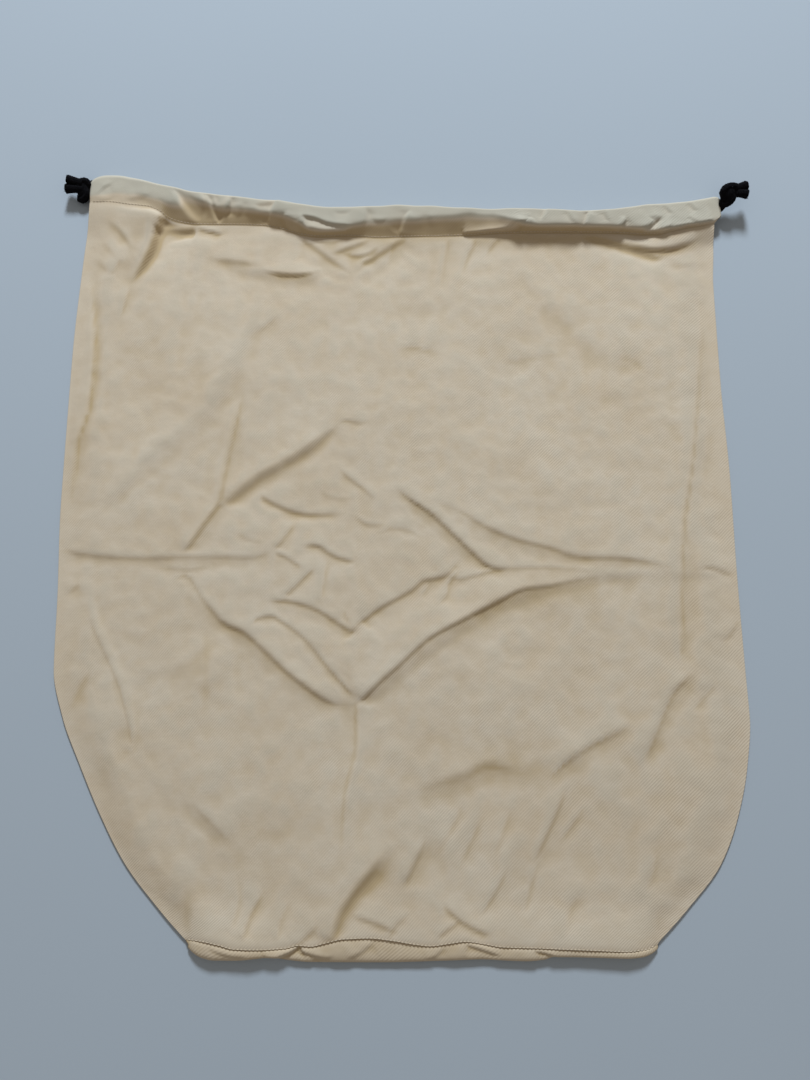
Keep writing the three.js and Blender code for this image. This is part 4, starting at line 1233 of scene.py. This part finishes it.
# Each knot ties the ends of both cords: its half size, the cords that lead in, and the
# short cut ends as places beside the knot's middle.
knots = [
    {
        "name": "knotLeft", "node": "knot_left",
        "centre": (-243.8, 266.1, 5.2), "half": (5.5, 8.6, 4.2), "lean": 0.0, "taper": 0.1,
        "pitch": 0.35,
        "leads": [[(-238, 272, 3.1), (-241, 270, 4.4)], [(-238, 264, 2.6), (-241, 263, 3.4)]],
        "stubs": [[(0, 4.4, 3.0), (-6, 5.8, 3.8), (-11.0, 7.0, 3.8)],
                  [(0, 0.4, 1.6), (-6, 0.4, 2.2), (-12.2, 1.0, 1.6)]],
    },
    {
        "name": "knotRight", "node": "knot_right",
        "centre": (241.9, 258.0, 11.2), "half": (6.3, 7.9, 4.6), "lean": 0.12, "taper": 0.25,
        "pitch": 0.55,
        "leads": [[(234, 253, 3.8), (238.0, 252, 6), (240.2, 253, 8)],
                  [(226, 246, 2.6), (235, 250, 3.4), (239, 252, 6)]],
        "stubs": [[(1, 4.4, 1.2), (8, 5.6, 2.0), (13.8, 7.4, 1.8)],
                  [(1, 1.2, 0.6), (8, 1.4, 1.4), (14.2, 0.8, 1.0)]],
    },
]
knotShape = {"radius": 2.7, "stub": 2.7, "flare": 0.8, "lead": 2.2, "stations": 240,
             "step": 0.5, "raise": 0.12, "core": 0.88, "coreSides": 24, "coreStations": 40}
frayFacts = {"fibres": 90, "length": 1.5, "radius": 0.16, "spread": 2.6, "seed": 41,
             "lowest": 0.3, "sunk": 0.8, "taper": [1, .9, .7, .25], "sides": 5}


def fray(end, ahead, facts, draw):  # loose fibres at a cut end
    spread, parts = facts["spread"], []
    radius = facts["radius"] * np.array(facts["taper"])
    t = np.linspace(0, 1, len(radius))[:, None]
    for _ in range(facts["fibres"]):
        start = end - ahead * facts["sunk"] + np.array(
            [draw.uniform(-0.5, 0.5), draw.uniform(-spread, spread),
             draw.uniform(-spread, spread)])
        lean = ahead + np.array([draw.uniform(-.5, .5), draw.uniform(-.55, .55),
                                 draw.uniform(-.55, .4)])
        length = facts["length"] * draw.uniform(0.5, 1.2)
        bend = np.array([0, draw.uniform(-.4, .4), draw.uniform(-.6, .2)])
        line = start + lean * length * t + bend * t ** 2
        line[:, 2] = np.maximum(line[:, 2], facts["lowest"])
        parts.append(tube(line, radius, facts["sides"]))
    return parts


def knotMesh(facts, draw):
    centre = np.array(facts["centre"])
    reach = np.array(facts["half"]) - knotShape["radius"]
    angle = np.linspace(0, 2 * math.pi, knotShape["stations"], endpoint=False)
    # a trefoil that winds round the cords that lead in
    y = reach[1] * (np.sin(angle) + 2 * np.sin(2 * angle)) / 2.6
    wide = reach[0] * (1 + facts["taper"] * y / reach[1])
    high = (np.cos(angle) - 2 * np.cos(2 * angle)) / 3 + knotShape["raise"]
    loop = centre + np.stack([wide * np.sin(3 * angle) + facts["lean"] * y, y,
                              reach[2] * high + facts["pitch"] * y], 1)
    parts = [cordAlong(loop, cordShape, closed=True, radius=knotShape["radius"])]
    # the turns inside the knot, as one swelling core
    t = np.linspace(-0.96, 0.96, knotShape["coreStations"])
    core = centre + np.stack([facts["lean"] * t, t, facts["pitch"] * t], 1) \
        * facts["half"][1] * knotShape["core"]
    thick = facts["half"][0] * knotShape["core"] * (1 + facts["taper"] * t * 0.7)
    parts.append(tube(core, thick * np.sqrt(1 - t * t), knotShape["coreSides"],
                      squeeze=facts["half"][2] / facts["half"][0]))
    for lead in facts["leads"]:
        parts.append(cordAlong(smoothLine([*lead, centre], knotShape["step"]), cordShape,
                               radius=knotShape["lead"]))
    for stub in facts["stubs"]:
        line = smoothLine(centre + np.array(stub), knotShape["step"])
        ahead = (line[-1] - line[-3]) / np.linalg.norm(line[-1] - line[-3])
        flare = knotShape["flare"] * np.linspace(0, 1, len(line)) ** 2
        parts.append(tube(line, knotShape["stub"] + flare, cordShape["sides"],
                          shape=braided(knotShape["step"], cordShape)))
        parts.extend(fray(line[-1], ahead, frayFacts, draw))
    points, faces = joined(parts)
    return meshObject(facts["name"], toFrame(points), faces, blackCotton)


draw = random.Random(frayFacts["seed"])
knotPieces = [knotMesh(facts, draw) for facts in knots]
print("knots tied")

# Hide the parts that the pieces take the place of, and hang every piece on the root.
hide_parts("front_panel")
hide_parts("back_panel")
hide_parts("base_strip")
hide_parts("cord_front")
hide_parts("cord_back")
for piece, facts in zip(knotPieces, knots):
    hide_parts(facts["node"])
for piece in (frontPanel, backPanel, baseStrip, casingStitches, baseStitches):
    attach(piece, "root")
for piece in (cordFront, cordBack, *knotPieces):
    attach(piece, "root")

print("done")
